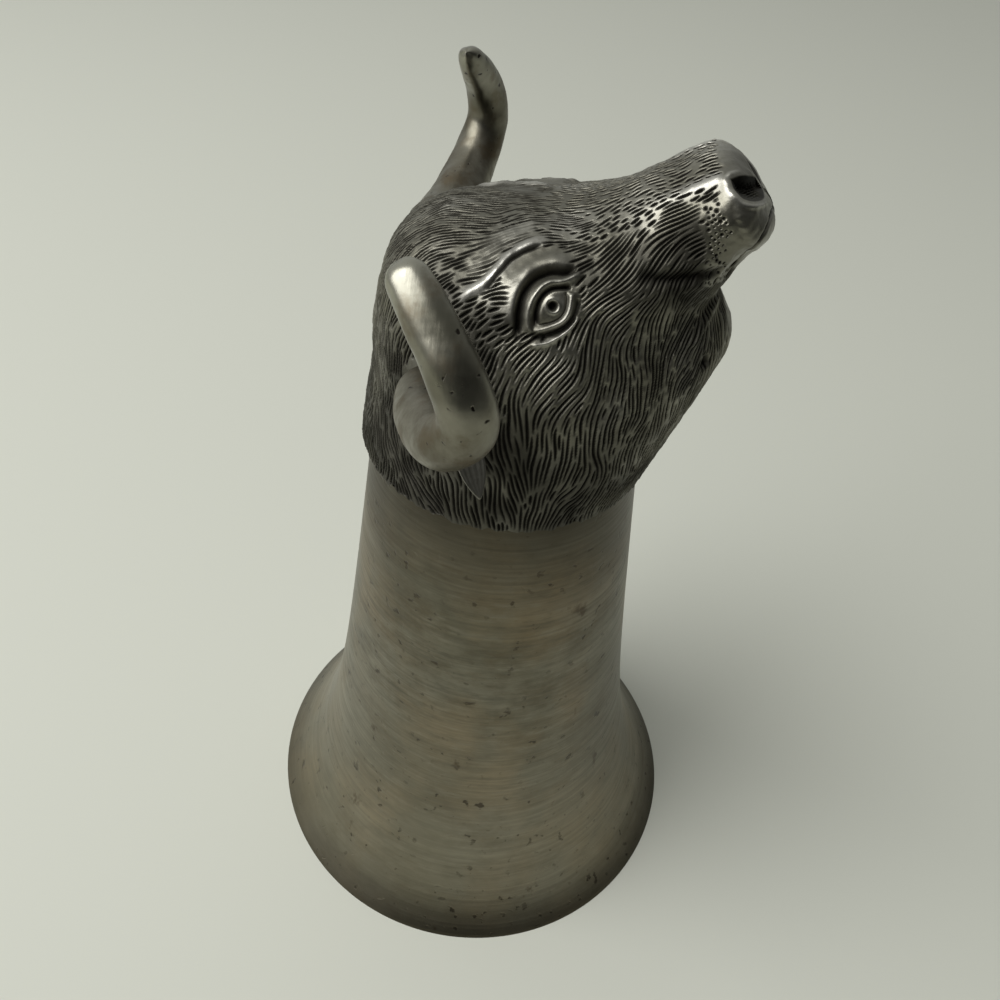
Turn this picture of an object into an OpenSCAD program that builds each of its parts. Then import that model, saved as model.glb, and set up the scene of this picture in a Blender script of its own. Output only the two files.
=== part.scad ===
// Stirrup cup: a spun, flared pewter cup that stands on its rim,
// with a cast bull's head soldered over its closed end.
// Millimetres. Z up, origin at the centre of the rim on the table.
// The bull faces +X and its left side is +Y.

/* [Cup] */
// Outer radius of the drinking rim
rim_r = 32; // [26:0.5:40]
// Outer radius of the neck where the head is seated
neck_r = 15.6; // [14.6:0.1:16.4]
// Height of the collar, where the fur begins, above the table
collar_z = 75.7; // [60:0.5:95]
// Length of neck that goes up into the head
seat_depth = 4; // [2.5:0.5:6]
// Wall of the cup
cup_wall = 1.4; // [1:0.1:2]
// Thickness of the closed end
end_wall = 1.6; // [1.2:0.1:2.5]
// Share of the flare that is straight taper, the rest curls out at the rim
flare_taper = 0.5; // [0.35:0.05:0.7]
// Share of the height over which the rim curls out
flare_curl = 0.135; // [0.08:0.005:0.2]

/* [Head] */
// Outer radius of the head at the collar
collar_r = 16.8; // [16.6:0.1:18.5]
// Height of the head from the collar to the top of the nose
head_h = 36; // [30:0.5:42]
// Farthest reach of the muzzle from the axis
muzzle_reach = 22.3; // [19:0.1:25]
// Half width of the muzzle at the nose
muzzle_w = 6.6; // [5.5:0.1:8]
// Half width of the head at the cheeks
cheek_w = 15.6; // [14:0.1:17]
// Wall of the hollow casting
head_wall = 5.4; // [5:0.1:6]
// Side clearance between the neck and its seat in the head
seat_gap = 0.15; // [0.1:0.05:0.3]
// Depth of the nostrils
nostril_depth = 1.6; // [0.6:0.1:2.2]
// Radius of the nostrils
nostril_r = 1.3; // [0.9:0.1:1.6]
// Radius of the eyeballs
eye_r = 2.4; // [2:0.1:2.8]
// Height of the eyeballs over their sockets
eye_bulge = 0.5; // [0.3:0.1:0.8]
// Height of the brow ridges
brow_lift = 1.2; // [0.5:0.1:1.8]

/* [Horns] */
// Radius of a horn at its root
horn_root_r = 3.5; // [3:0.1:3.8]
// Radius of a horn near its tip
horn_tip_r = 1.5; // [1.1:0.1:2]
// Distance of the horn's bend outwards from its root
horn_out = 15.5; // [11:0.5:18]
// Rise from the root to the tip
horn_rise = 18.8; // [15:0.5:24]
// Forward sweep of the right horn's bend, as a share of its reach
right_horn_bend = 0.30; // [0.15:0.01:0.4]
// Forward sweep of the right horn's tip
right_horn_tip = -0.13; // [-0.2:0.01:0.1]
// Forward sweep of the left horn's bend, which was set a little straighter
left_horn_bend = 0.18; // [0.15:0.01:0.4]
// Forward sweep of the left horn's tip
left_horn_tip = -0.02; // [-0.2:0.01:0.1]
// Depth of the horn and ear spigots in the head
spigot_depth = 2.8; // [2.4:0.1:3.2]
// Side clearance of horn and ear spigots
spigot_gap = 0.1; // [0.05:0.05:0.2]

/* [Ears] */
// Length of an ear from the head to its tip
ear_len = 7; // [6:0.5:9]
// Half width of an ear
ear_w = 2.2; // [1.8:0.1:2.8]
// Thickness of an ear in the middle
ear_t = 1.3; // [1:0.1:1.8]
// Radius of the ear's spigot
ear_peg_r = 1.1; // [0.8:0.1:1.3]

/* [Hidden] */
cup_h = collar_z + seat_depth;
// The neck steps in at the collar, and the head sits on that shoulder
plug_r = neck_r - 1.6;
end_gap = 0.3;
pewter = [0.46, 0.45, 0.41];
dark_pewter = [0.34, 0.33, 0.30];
horn_pewter = [0.58, 0.57, 0.53];
head_rings = 48;
head_sides = 72;
nose_rings = 7;

// Cubic through four values, between the two in the middle
function cubic(a, b, c, d, u) =
    b + 0.5 * u * (c - a + u * (2 * a - 5 * b + 4 * c - d + u * (3 * (b - c) + d - a)));

// Row of a station list at any place from 0 (first) to 1 (last)
function along(list, t) =
    let (n = len(list) - 1, s = min(t, 0.99999) * n, i = floor(s), u = s - i)
    cubic(list[max(i - 1, 0)], list[i], list[i + 1], list[min(i + 2, n)], u);

// Outer radius of the cup at a height
function cup_r(z) =
    z >= collar_z ? neck_r :
    let (u = z / collar_z)
    neck_r + (rim_r - neck_r)
        * (flare_taper * (1 - u) + (1 - flare_taper) * (exp(-u / flare_curl) - exp(-1 / flare_curl)));

// Head stations from the collar to the nose.
// Throat point x and z, nape point x and z, half width, egg shape.
// Shares of reach, head height, collar radius and the two widths.
function station(lx, lz, ux, uz, w, egg) =
    [lx * muzzle_reach, collar_z + lz * head_h,
     ux < 0 ? ux * collar_r : ux * muzzle_reach, collar_z + uz * head_h, w, egg];
head_line = [
    [collar_r, collar_z, -collar_r, collar_z, collar_r, 0],
    station(0.795, 0.075, -0.965, 0.10, 0.35 * collar_r + 0.65 * cheek_w + 0.6, 0),
    station(0.87, 0.20, -0.90, 0.27, cheek_w + 0.6, 0.05),
    station(0.94, 0.31, -0.895, 0.44, cheek_w, 0.12),
    station(0.985, 0.41, -0.80, 0.605, 0.89 * cheek_w, 0.20),
    station(0.965, 0.50, -0.57, 0.722, 0.765 * cheek_w, 0.26),
    station(0.915, 0.572, -0.18, 0.765, 0.67 * cheek_w, 0.24),
    station(0.905, 0.622, 0.155, 0.792, 0.35 * cheek_w + 0.55 * muzzle_w, 0.16),
    station(0.922, 0.658, 0.38, 0.834, 0.20 * cheek_w + 0.78 * muzzle_w, 0.06),
    station(0.948, 0.69, 0.547, 0.893, 0.07 * cheek_w + 0.95 * muzzle_w, 0),
    station(0.992, 0.725, 0.71, 0.957, muzzle_w, 0)
];

// Point of the plain head: place along it, turn around it, depth under the skin
function head_base(t, a, inset) =
    let (s = along(head_line, t),
         mid = [(s[0] + s[2]) / 2, 0, (s[1] + s[3]) / 2],
         half = [(s[2] - s[0]) / 2, 0, (s[3] - s[1]) / 2])
    mid - half * (cos(a) * (1 - inset / norm(half)))
        + [0, (s[4] - inset) * sin(a) * (1 - s[5] * cos(a)), 0];

// Smooth bump of height 1 around a place, the same on both sides of the head
function bump(p, at, size) =
    let (d = [(p[0] - at[0]) / size[0], (abs(p[1]) - at[1]) / size[1], (p[2] - at[2]) / size[2]])
    exp(-d * d);

// Places on the head
function head_x(s) = s * muzzle_reach;
function head_z(s) = collar_z + s * head_h;
eye_at = head_base(0.53, 106, 0);
brow_at = head_base(0.575, 134, 0);
nostril_at = [head_x(0.88), 0.62 * muzzle_w, head_z(0.945)];
nostril_dir = [0.62, 0.45, 0.64];
eye_dir = [0.05, 0.9, 0.42];
chin_at = [head_x(1.0), 0, head_z(0.44)];

// How far the skin stands out at a place
function relief(p) =
    brow_lift * bump(p, brow_at, [5.5, 2.6, 2.2])
    - 0.8 * bump(p, eye_at, [4, 4, 3])
    + 0.7 * bump(p, nostril_at - [3, -1.2, 2.6], [3, 2.4, 2.2])
    - 0.6 * bump(p, [head_x(0.95), 0, head_z(0.61)], [5, 6, 1.1])
    + 0.4 * bump(p, chin_at, [4, 5, 3]);

// Point of the head with its relief
function head_point(t, a) =
    let (p = head_base(t, a, 0), s = along(head_line, t),
         d = p - [(s[0] + s[2]) / 2, 0, (s[1] + s[3]) / 2])
    p + d / norm(d) * relief(p);

// Nose: the last ring closes over a low dome
nose_out = [cos(33), 0, sin(33)];
nose_dome = 0.4 * muzzle_w;
function nose_point(k, a) =
    let (s = along(head_line, 1),
         mid = [(s[0] + s[2]) / 2, 0, (s[1] + s[3]) / 2],
         f = 90 * k / nose_rings,
         p = mid + (head_point(1, a) - mid) * pow(cos(f), 0.8) + nose_out * (nose_dome * sin(f)))
    p;
nose_tip =
    let (s = along(head_line, 1))
    [(s[0] + s[2]) / 2, 0, (s[1] + s[3]) / 2] + nose_out * nose_dome;

// Skin from rings of points, closed by the last point and a flat first ring
module skin(rings, tip) {
    n = len(rings);
    m = len(rings[0]);
    points = [for (r = rings) for (p = r) p, tip];
    faces = [
        [for (j = [0 : m - 1]) j],
        for (i = [0 : n - 2]) for (j = [0 : m - 1]) let (k = (j + 1) % m)
            each [[i * m + j, (i + 1) * m + j, (i + 1) * m + k],
                  [i * m + j, (i + 1) * m + k, i * m + k]],
        for (j = [0 : m - 1]) [(n - 1) * m + j, n * m, (n - 1) * m + (j + 1) % m]
    ];
    polyhedron(points, faces, convexity = 8);
}

module head_outside() {
    rings = concat(
        [for (i = [0 : head_rings])
            [for (j = [0 : head_sides - 1]) head_point(i / head_rings, 360 * j / head_sides)]],
        [for (k = [1 : nose_rings - 1])
            [for (j = [0 : head_sides - 1]) nose_point(k, 360 * j / head_sides)]]);
    skin(rings, nose_tip);
}

// Hollow of the casting, from the cup's end to the back of the muzzle
hollow_from = 0.08;
hollow_to = 0.66;
module head_hollow() {
    rings = [for (i = [0 : 12])
        [for (j = [0 : 23])
            head_base(hollow_from + (hollow_to - hollow_from) * i / 12, 15 * j, head_wall)]];
    last = rings[12];
    skin(rings, (last[0] + last[12]) / 2);
}

// Put a shape that stands along Z on a place, along a direction
module stand(at, dir) {
    translate(at)
        rotate([0, acos(dir[2] / norm(dir)), atan2(dir[1], dir[0])])
            children();
}

// Horn: a round root in a socket at the side of the poll, then out, up and in again
horn_place = 0.30;
horn_turn = 128;
horn_root = head_base(horn_place, horn_turn, 0);
horn_dir = [0, 0.97, 0.25];
horn_axis = horn_dir / norm(horn_dir);
horn_straight = 2.4;
horn_start = horn_root + horn_axis * horn_straight;

// Points along a horn; bend and tip are its forward sweep as shares of its reach
function horn_line(bend, tip) = [
    horn_start,
    horn_root + [0.1 * bend, 0.42, 0] * horn_out + [0, 0, 0.10 * horn_rise],
    horn_root + [0.55 * bend, 0.84, 0] * horn_out + [0, 0, 0.255 * horn_rise],
    horn_root + [bend, 1.00, 0] * horn_out + [0, 0, 0.479 * horn_rise],
    horn_root + [0.7 * bend + 0.15 * tip, 0.92, 0] * horn_out + [0, 0, 0.718 * horn_rise],
    horn_root + [tip, 0.54, 0] * horn_out + [0, 0, horn_rise]
];
horn_rings = 32;
horn_sides = 24;
function horn_r(t) =
    (horn_tip_r + (horn_root_r - horn_tip_r) * pow(1 - t, 0.8))
        * sqrt(1 - 0.8 * pow(max(t - 0.92, 0) / 0.08, 2));
function horn_frame(line, t) =
    let (d = t == 0 ? horn_axis : along(line, min(t + 0.01, 1)) - along(line, t - 0.01),
         f = d / norm(d),
         side = cross(f, [1, 0, 0]),
         u = side / norm(side))
    [u, cross(f, u)];
function horn_ring(line, t, back) =
    let (c = along(line, t) - horn_axis * back, b = horn_frame(line, t), r = horn_r(t))
    [for (j = [0 : horn_sides - 1])
        c + (b[0] * cos(360 * j / horn_sides) + b[1] * sin(360 * j / horn_sides)) * r];

module horn(bend, tip) {
    line = horn_line(bend, tip);
    rings = [horn_ring(line, 0, spigot_depth + horn_straight),
             for (i = [0 : horn_rings]) horn_ring(line, i / horn_rings, 0)];
    skin(rings, along(line, 1) + (along(line, 1) - along(line, 0.96)) * 0.3);
}

module horn_socket() {
    stand(horn_root - horn_axis * spigot_depth, horn_axis)
        cylinder(r = horn_root_r + spigot_gap, h = spigot_depth + 5, $fn = 48);
}

// Ear: a pointed, hollowed leaf on a peg, hanging below the horn
ear_place = 0.235;
ear_turn = 117;
ear_root = head_base(ear_place, ear_turn, 0);
ear_peg_dir = [-0.32, 0.95, 0];
ear_peg = ear_peg_dir / norm(ear_peg_dir);
ear_leaf_dir = [0.36, 0.68, -0.64];
ear_leaf = ear_leaf_dir / norm(ear_leaf_dir);
ear_stand = 2;

module ear() {
    rings = [for (i = [0 : 12]) let (s = i / 12, w = ear_w * pow(sin(30 + 147 * s), 0.8))
        [for (j = [0 : 15]) let (a = 360 * j / 16)
            [0.5 * ear_t * (1 - 0.6 * s) * sin(a) - 0.28 * w * pow(cos(a), 2), -w * cos(a), s * ear_len]]];
    stand(ear_root + ear_peg * ear_stand, ear_leaf)
        translate([0, 0, -ear_peg_r])
            skin(rings, [0, 0, ear_len * 1.02]);
    stand(ear_root - ear_peg * spigot_depth, ear_peg)
        cylinder(r = ear_peg_r, h = spigot_depth + ear_stand + 0.2, $fn = 32);
}

module ear_socket() {
    stand(ear_root - ear_peg * spigot_depth, ear_peg)
        cylinder(r = ear_peg_r + spigot_gap, h = spigot_depth + 4, $fn = 32);
}

// Eyeball and nostril of one side
module eyeball() {
    translate(eye_at - eye_dir * (eye_r + 0.6 - eye_bulge))
        sphere(r = eye_r, $fn = 40);
}

module nostril() {
    stand(nostril_at - nostril_dir * nostril_depth, nostril_dir)
        cylinder(r = nostril_r, h = 6, $fn = 28);
}

module both_sides() {
    children();
    mirror([0, 1, 0]) children();
}

module cup_bowl() {
    steps = 40;
    outside = [for (i = [0 : steps]) let (z = collar_z * i / steps) [cup_r(z), z]];
    plug = [[plug_r, collar_z], [plug_r, cup_h], [0, cup_h], [0, cup_h - end_wall],
            [plug_r - cup_wall, cup_h - end_wall], [plug_r - cup_wall, collar_z - cup_wall]];
    inside = [for (i = [0 : steps]) let (z = (collar_z - cup_wall) * (steps - i) / steps)
        [cup_r(z) - cup_wall, z]];
    color(pewter)
        rotate_extrude($fn = 128)
            polygon(concat(outside, plug, inside));
}

module head_casting() {
    color(dark_pewter)
        difference() {
            union() {
                head_outside();
                both_sides() eyeball();
            }
            head_hollow();
            translate([0, 0, collar_z - 1])
                cylinder(r = plug_r + seat_gap, h = seat_depth + end_gap + 1, $fn = 128);
            both_sides() horn_socket();
            both_sides() ear_socket();
            both_sides() nostril();
        }
}

module left_horn() {
    color(horn_pewter) horn(left_horn_bend, left_horn_tip);
}

module right_horn() {
    color(horn_pewter) mirror([0, 1, 0]) horn(right_horn_bend, right_horn_tip);
}

module left_ear() {
    color(horn_pewter) ear();
}

module right_ear() {
    color(horn_pewter) mirror([0, 1, 0]) ear();
}

cup_bowl();
head_casting();
right_horn();
left_horn();
right_ear();
left_ear();
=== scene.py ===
# %% [markdown]
# # Pewter stirrup cup with a bull's head
# The cup stands upside down on its drinking rim, and a cast bull's head covers its closed end.
# The construction model is loaded first. It is the fixed frame: every piece made here sits where
# that model says, and stands for one of its nodes.

# %% Load the construction model
import math
import bpy
import numpy as np
from mathutils import Matrix, Vector, kdtree


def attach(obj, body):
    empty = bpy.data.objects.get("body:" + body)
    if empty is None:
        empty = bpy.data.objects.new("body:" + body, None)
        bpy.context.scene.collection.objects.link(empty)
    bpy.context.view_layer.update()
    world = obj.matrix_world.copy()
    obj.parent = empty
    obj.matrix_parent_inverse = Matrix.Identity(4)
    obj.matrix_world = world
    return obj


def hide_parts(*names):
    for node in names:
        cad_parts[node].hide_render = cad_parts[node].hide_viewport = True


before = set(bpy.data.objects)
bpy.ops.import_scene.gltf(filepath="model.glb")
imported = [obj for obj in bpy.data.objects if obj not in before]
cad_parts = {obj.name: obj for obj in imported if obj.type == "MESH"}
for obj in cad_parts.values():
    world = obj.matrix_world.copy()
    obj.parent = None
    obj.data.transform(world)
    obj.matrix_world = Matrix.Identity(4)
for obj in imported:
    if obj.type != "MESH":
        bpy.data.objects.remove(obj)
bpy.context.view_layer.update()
scene = bpy.context.scene
MM = 0.001
print("nodes:", sorted(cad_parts))

# %% [markdown]
# ## Camera
# The photograph was taken from about 17 cm away, looking down at 46 degrees with a wide lens, and
# the camera was rolled a little. So near, perspective is strong, so the place of the camera matters
# more than its lens. The three axes are written out, because a roll is easy to get wrong by angles.

# %% Camera
camera_place = np.array([-2.145, -81.922, 146.94])
camera_tilt, camera_pan, camera_roll = 45.65, 1.582, -6.003
lens_pixels, image_pixels, sensor_mm = 920.0, 1000, 36.0


def camera_axes():
    t, p, r = (math.radians(v) for v in (camera_tilt, camera_pan, camera_roll))
    ahead = np.array([math.sin(p) * math.cos(t), math.cos(p) * math.cos(t), -math.sin(t)])
    right = np.array([math.cos(p), -math.sin(p), 0.0])
    up = np.cross(right, ahead)
    c, s = math.cos(r), math.sin(r)
    return c * right - s * up, s * right + c * up, ahead


view_right, view_up, view_ahead = camera_axes()
camera_data = bpy.data.cameras.new("camera")
camera_data.sensor_width = sensor_mm
camera_data.lens = lens_pixels / image_pixels * sensor_mm
camera_data.clip_start = 5 * MM
camera = bpy.data.objects.new("camera", camera_data)
scene.collection.objects.link(camera)
turn = Matrix([[view_right[k], view_up[k], -view_ahead[k]] for k in range(3)]).to_4x4()
camera.matrix_world = Matrix.Translation(Vector(camera_place * MM)) @ turn
scene.camera = camera
scene.view_settings.view_transform = "Standard"
print("lens", round(camera_data.lens, 2), "mm")

# %% [markdown]
# ## Nodes in a few words
# Materials and geometry trees are long when every node is wired by hand. These helpers add a node,
# set its inputs and link sockets, so that each tree below reads as a list of what it does.

# %% Helpers for node trees


def add(tree, kind, **inputs):
    node = tree.nodes.new(kind)
    for name, value in inputs.items():
        numbered = name[0] == "i" and name[1:].isdigit()
        socket = node.inputs[int(name[1:]) if numbered else name.replace("_", " ")]
        if isinstance(value, bpy.types.NodeSocket):
            tree.links.new(value, socket)
        else:
            socket.default_value = value
    return node


def calc(tree, what, a, b=0.0, c=0.0, clamp=False):
    node = add(tree, "ShaderNodeMath", i0=a, i1=b, i2=c)
    node.operation = what
    node.use_clamp = clamp
    return node.outputs[0]


def plus(tree, a, b):
    return calc(tree, "ADD", a, b)


def minus(tree, a, b):
    return calc(tree, "SUBTRACT", a, b)


def times(tree, a, b):
    return calc(tree, "MULTIPLY", a, b)


def spread(tree, value, low, high, to_low=0.0, to_high=1.0):
    node = add(tree, "ShaderNodeMapRange", i0=value, i1=low, i2=high, i3=to_low, i4=to_high)
    node.clamp = True
    return node.outputs[0]


# %% [markdown]
# ## Colours in layers
# A metal's finish is built as it came about: a grey ground, then stains, rubbed places and dirt on
# top of each other. Each layer is a noise pattern, the range in which it shows and its colour, so
# one helper lays any of them, and another wires the result to the shader.

# %% Helpers for finishes


def mix_colours(tree, share, first, second):
    node = tree.nodes.new("ShaderNodeMix")
    node.data_type = "RGBA"
    for k, value in ((0, share), (6, first), (7, second)):
        if isinstance(value, bpy.types.NodeSocket):
            tree.links.new(value, node.inputs[k])
        else:
            node.inputs[k].default_value = value if isinstance(value, float) else (*value, 1.0)
    return node.outputs[2]


def lay(tree, ground, pattern, shown, colour):
    return mix_colours(tree, spread(tree, pattern, *shown), ground, colour)


def noise(tree, place, scale, detail=3.0, stretch=(1, 1, 1), rough=0.5):
    mapping = add(tree, "ShaderNodeMapping", Vector=place, Scale=stretch)
    node = add(tree, "ShaderNodeTexNoise", Vector=mapping.outputs[0], Scale=scale, Detail=detail,
               Roughness=rough)
    return node.outputs["Fac"]


def new_material(name):
    material = bpy.data.materials.new(name)
    material.use_nodes = True
    tree = material.node_tree
    shader = tree.nodes["Principled BSDF"]
    shader.inputs["Metallic"].default_value = 1.0
    place = tree.nodes.new("ShaderNodeTexCoord").outputs["Object"]
    return material, tree, shader, place


def wire_shader(tree, shader, colour, rough, height, strength, depth):
    bump = add(tree, "ShaderNodeBump", Height=height, Strength=strength, Distance=depth)
    for socket, value in (("Base Color", colour), ("Roughness", rough), ("Normal", bump.outputs[0])):
        tree.links.new(value, shader.inputs[socket])


# %% [markdown]
# ## Spun pewter
# The cup was spun on a lathe, so fine lines run round it. Years of handling left a dull grey-olive
# skin with brown patches, dark specks and a few scratches. The lines come from noise that is
# squeezed along the height: it hardly changes around the cup and quickly up it. Painted shade
# darkens the wall under the collar and at the rim, so it is laid by height.

# %% Finish of the cup
cup_greys = (0.143, 0.132, 0.094), (0.264, 0.25, 0.197)
# The first dark colour below is painted shade, laid in two height bands: under the collar and at the rim.
cup_shade_colour, cup_scuff, cup_speck = (0.055, 0.048, 0.034), (0.07, 0.05, 0.03), (0.045, 0.036, 0.026)
collar_painted_shade, rim_painted_shade = (0.056, 0.0757, 0.0, 0.95), (0.0060, 0.0, 0.0, 0.7)


def cup_layers(tree, place, stain, lines, up):
    smear = noise(tree, place, 1.0, 4.0, (160, 160, 40))
    warm = noise(tree, place, 75.0, 3.0, (1, 1, 0.7))
    streak = noise(tree, place, 1.0, 6.0, (210, 210, 800), rough=0.62)
    return [
        (smear, (0.50, 0.72, 0.0, 0.45), (0.27, 0.25, 0.195)),      # pale smears
        (stain, (0.46, 0.66, 0.0, 0.75), (0.115, 0.092, 0.055)),    # brown stains
        (warm, (0.48, 0.66, 0.0, 0.6), (0.265, 0.206, 0.126)),      # warm patches
        (streak, (0.50, 0.68, 0.0, 0.5), (0.085, 0.078, 0.056)),    # dark streaks
        (streak, (0.46, 0.32, 0.0, 0.35), (0.30, 0.28, 0.22)),      # pale streaks
        (lines, (0.35, 0.7, 0.0, 0.32), (0.09, 0.085, 0.066)),      # lines of the lathe
        (up, (0.045, 0.012, 0.0, 0.35), (0.335, 0.307, 0.23)),      # the flare, paler towards the rim
    ]


def make_spun_pewter():
    material, tree, shader, place = new_material("spun_pewter")
    cloud = noise(tree, place, 45.0, 5.0)
    stain = noise(tree, place, 110.0, 8.0, (1, 1, 1.6), rough=0.7)
    lines = noise(tree, place, 1.0, 4.0, (14, 14, 2600))
    wide_lines = noise(tree, place, 1.0, 2.0, (9, 9, 420))
    specks = noise(tree, place, 700.0, 2.0)
    scuffs = noise(tree, place, 190.0, 4.0, (1, 1, 0.6), rough=0.6)
    scratch = noise(tree, place, 1.0, 3.0, (500, 1500, 420))
    up = add(tree, "ShaderNodeSeparateXYZ", Vector=place).outputs[2]
    colour = mix_colours(tree, spread(tree, cloud, 0.35, 0.68), *cup_greys)
    for pattern, shown, layer in cup_layers(tree, place, stain, lines, up):
        colour = lay(tree, colour, pattern, shown, layer)
    # Painted shade under the collar and at the rim, varied a little by the cloud pattern.
    painted_shade = plus(tree, spread(tree, up, *collar_painted_shade), spread(tree, up, *rim_painted_shade))
    painted_shade = calc(tree, "MULTIPLY", painted_shade, spread(tree, cloud, 0.25, 0.75, 0.6, 1.3), clamp=True)
    colour = mix_colours(tree, painted_shade, colour, cup_shade_colour)
    colour = lay(tree, colour, scuffs, (0.66, 0.72, 0.0, 0.75), cup_scuff)
    pits = times(tree, spread(tree, specks, 0.64, 0.70), spread(tree, stain, 0.40, 0.6, 0.0, 0.8))
    colour = mix_colours(tree, pits, colour, cup_speck)
    rough = plus(tree, spread(tree, cloud, 0.3, 0.7, 0.33, 0.46), spread(tree, lines, 0.3, 0.7, -0.04, 0.05))
    height = plus(tree, times(tree, lines, 0.6), times(tree, wide_lines, 1.2))
    height = minus(tree, height, spread(tree, scratch, 0.68, 0.75))
    height = minus(tree, height, times(tree, pits, 1.5))
    wire_shader(tree, shader, colour, rough, height, 0.22, 0.0002)
    return material


spun_pewter = make_spun_pewter()
print("finish:", spun_pewter.name)

# %% [markdown]
# ## Cast pewter
# The head was cast and its fur engraved. The maker blackened it and rubbed the high places bright
# again, so the grooves stay almost black. Two numbers are kept on the skin's points, grime and
# wear, and the finish mixes its colours from them. The grime also holds painted shade round the
# horns and inside the nostrils. That way colour and carving always agree.

# %% Finish of the head and ears
head_greys = (0.168, 0.161, 0.128), (0.265, 0.255, 0.21)
# The black colour is both the blackening of the grooves and painted shade round the horns and in the
# nostrils.
rubbed_bright, dull_grain, blackening_and_shade = (0.58, 0.565, 0.51), (0.12, 0.11, 0.085), (0.012, 0.011, 0.009)


def mark_on_skin(tree, name):
    node = add(tree, "ShaderNodeAttribute")
    node.attribute_name = name
    return node.outputs["Fac"]


def make_cast_pewter():
    material, tree, shader, place = new_material("cast_pewter")
    grime_and_shade, wear = mark_on_skin(tree, "grime_and_shade"), mark_on_skin(tree, "wear")
    cloud = noise(tree, place, 70.0, 5.0)
    grain = noise(tree, place, 2400.0, 3.0)
    colour = mix_colours(tree, spread(tree, cloud, 0.35, 0.68), *head_greys)
    colour = mix_colours(tree, wear, colour, rubbed_bright)
    colour = lay(tree, colour, grain, (0.5, 0.75, 0.0, 0.35), dull_grain)
    # Black is mixed in by the grime mark: blackened grooves, and painted shade round the horns and in the
    # nostrils.
    colour = mix_colours(tree, grime_and_shade, colour, blackening_and_shade)
    rough = plus(tree, spread(tree, wear, 0.0, 1.0, 0.40, 0.30), times(tree, grime_and_shade, 0.3))
    wire_shader(tree, shader, colour, rough, grain, 0.35, 0.00008)
    return material


cast_pewter = make_cast_pewter()
print("finish:", cast_pewter.name)

# %% [markdown]
# ## Horn pewter
# Hands hold the cup by its horns, so these are smooth and brighter than the rest. They still have
# brown clouds, small casting pits and soft dents. Low down they are darker and rougher: painted
# shade, mixed with brown stain.

# %% Finish of the horns
horn_greys = (0.155, 0.15, 0.117), (0.33, 0.32, 0.265)
horn_low_shade_and_stain, horn_brown, horn_pit = (0.085, 0.070, 0.045), (0.12, 0.092, 0.055), (0.03, 0.025, 0.02)


def make_horn_pewter():
    material, tree, shader, place = new_material("horn_pewter")
    cloud = noise(tree, place, 120.0, 4.0)
    stain = noise(tree, place, 330.0, 5.0, rough=0.6)
    pits = spread(tree, noise(tree, place, 1100.0, 1.0), 0.70, 0.75)
    up = add(tree, "ShaderNodeSeparateXYZ", Vector=place).outputs[2]
    # Painted shade low on the horn, mixed with brown stain.
    low = spread(tree, up, 0.109, 0.097, 0.0, 0.65)
    low = calc(tree, "MULTIPLY", low, spread(tree, stain, 0.3, 0.6, 0.5, 1.2), clamp=True)
    colour = mix_colours(tree, spread(tree, cloud, 0.35, 0.65), *horn_greys)
    colour = mix_colours(tree, low, colour, horn_low_shade_and_stain)
    colour = lay(tree, colour, stain, (0.50, 0.68, 0.0, 0.6), horn_brown)
    colour = mix_colours(tree, pits, colour, horn_pit)
    rough = plus(tree, spread(tree, stain, 0.3, 0.7, 0.25, 0.40), times(tree, low, 0.16))
    scratch = noise(tree, place, 1.0, 3.0, (2600, 500, 420))
    height = minus(tree, noise(tree, place, 420.0, 2.0), times(tree, pits, 0.6))
    height = plus(tree, height, times(tree, scratch, 0.22))
    wire_shader(tree, shader, colour, rough, height, 0.25, 0.0003)
    return material


horn_pewter = make_horn_pewter()
print("finish:", horn_pewter.name)

# %% [markdown]
# ## Geometry trees
# A tree gets its sizes from named inputs. The modifier stores them by the socket's identifier, so
# the helper looks that up. The result is turned into a plain mesh and the modifier goes away.

# %% Helpers for geometry trees


def new_tree(name, sizes):
    tree = bpy.data.node_groups.new(name, "GeometryNodeTree")
    tree.interface.new_socket("Geometry", in_out="INPUT", socket_type="NodeSocketGeometry")
    for size, value in sizes.items():
        kind = "NodeSocketMaterial" if isinstance(value, bpy.types.Material) else "NodeSocketFloat"
        tree.interface.new_socket(size, in_out="INPUT", socket_type=kind)
    tree.interface.new_socket("Geometry", in_out="OUTPUT", socket_type="NodeSocketGeometry")
    return tree, tree.nodes.new("NodeGroupInput").outputs, tree.nodes.new("NodeGroupOutput").inputs


def finish_tree(tree, mesh, material, out):
    smooth = add(tree, "GeometryNodeSetShadeSmooth", Geometry=mesh)
    real = add(tree, "GeometryNodeRealizeInstances", Geometry=smooth.outputs[0])
    dressed = add(tree, "GeometryNodeSetMaterial", Geometry=real.outputs[0], Material=material)
    tree.links.new(dressed.outputs[0], out["Geometry"])


def put_in_scene(name, mesh):
    piece = bpy.data.objects.new(name, mesh)
    scene.collection.objects.link(piece)
    return piece


def grow(name, start, tree, sizes, finish=None):
    maker = put_in_scene(name + "_maker", start)
    modifier = maker.modifiers.new("shape", "NODES")
    modifier.node_group = tree
    for item in tree.interface.items_tree:
        if item.item_type == "SOCKET" and item.in_out == "INPUT" and item.name in sizes:
            modifier[item.identifier] = sizes[item.name]
    if finish:
        finish(maker)
    evaluated = maker.evaluated_get(bpy.context.evaluated_depsgraph_get())
    mesh = bpy.data.meshes.new_from_object(evaluated)
    bpy.data.objects.remove(maker)
    mesh.name = name
    return put_in_scene(name, mesh)


# %% [markdown]
# ## Settling a piece
# Every finished piece rides on the one body and stands for its node. A
# closed mesh whose volume comes out negative is inside out, so it is turned first.

# %% Helpers for settling


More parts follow.
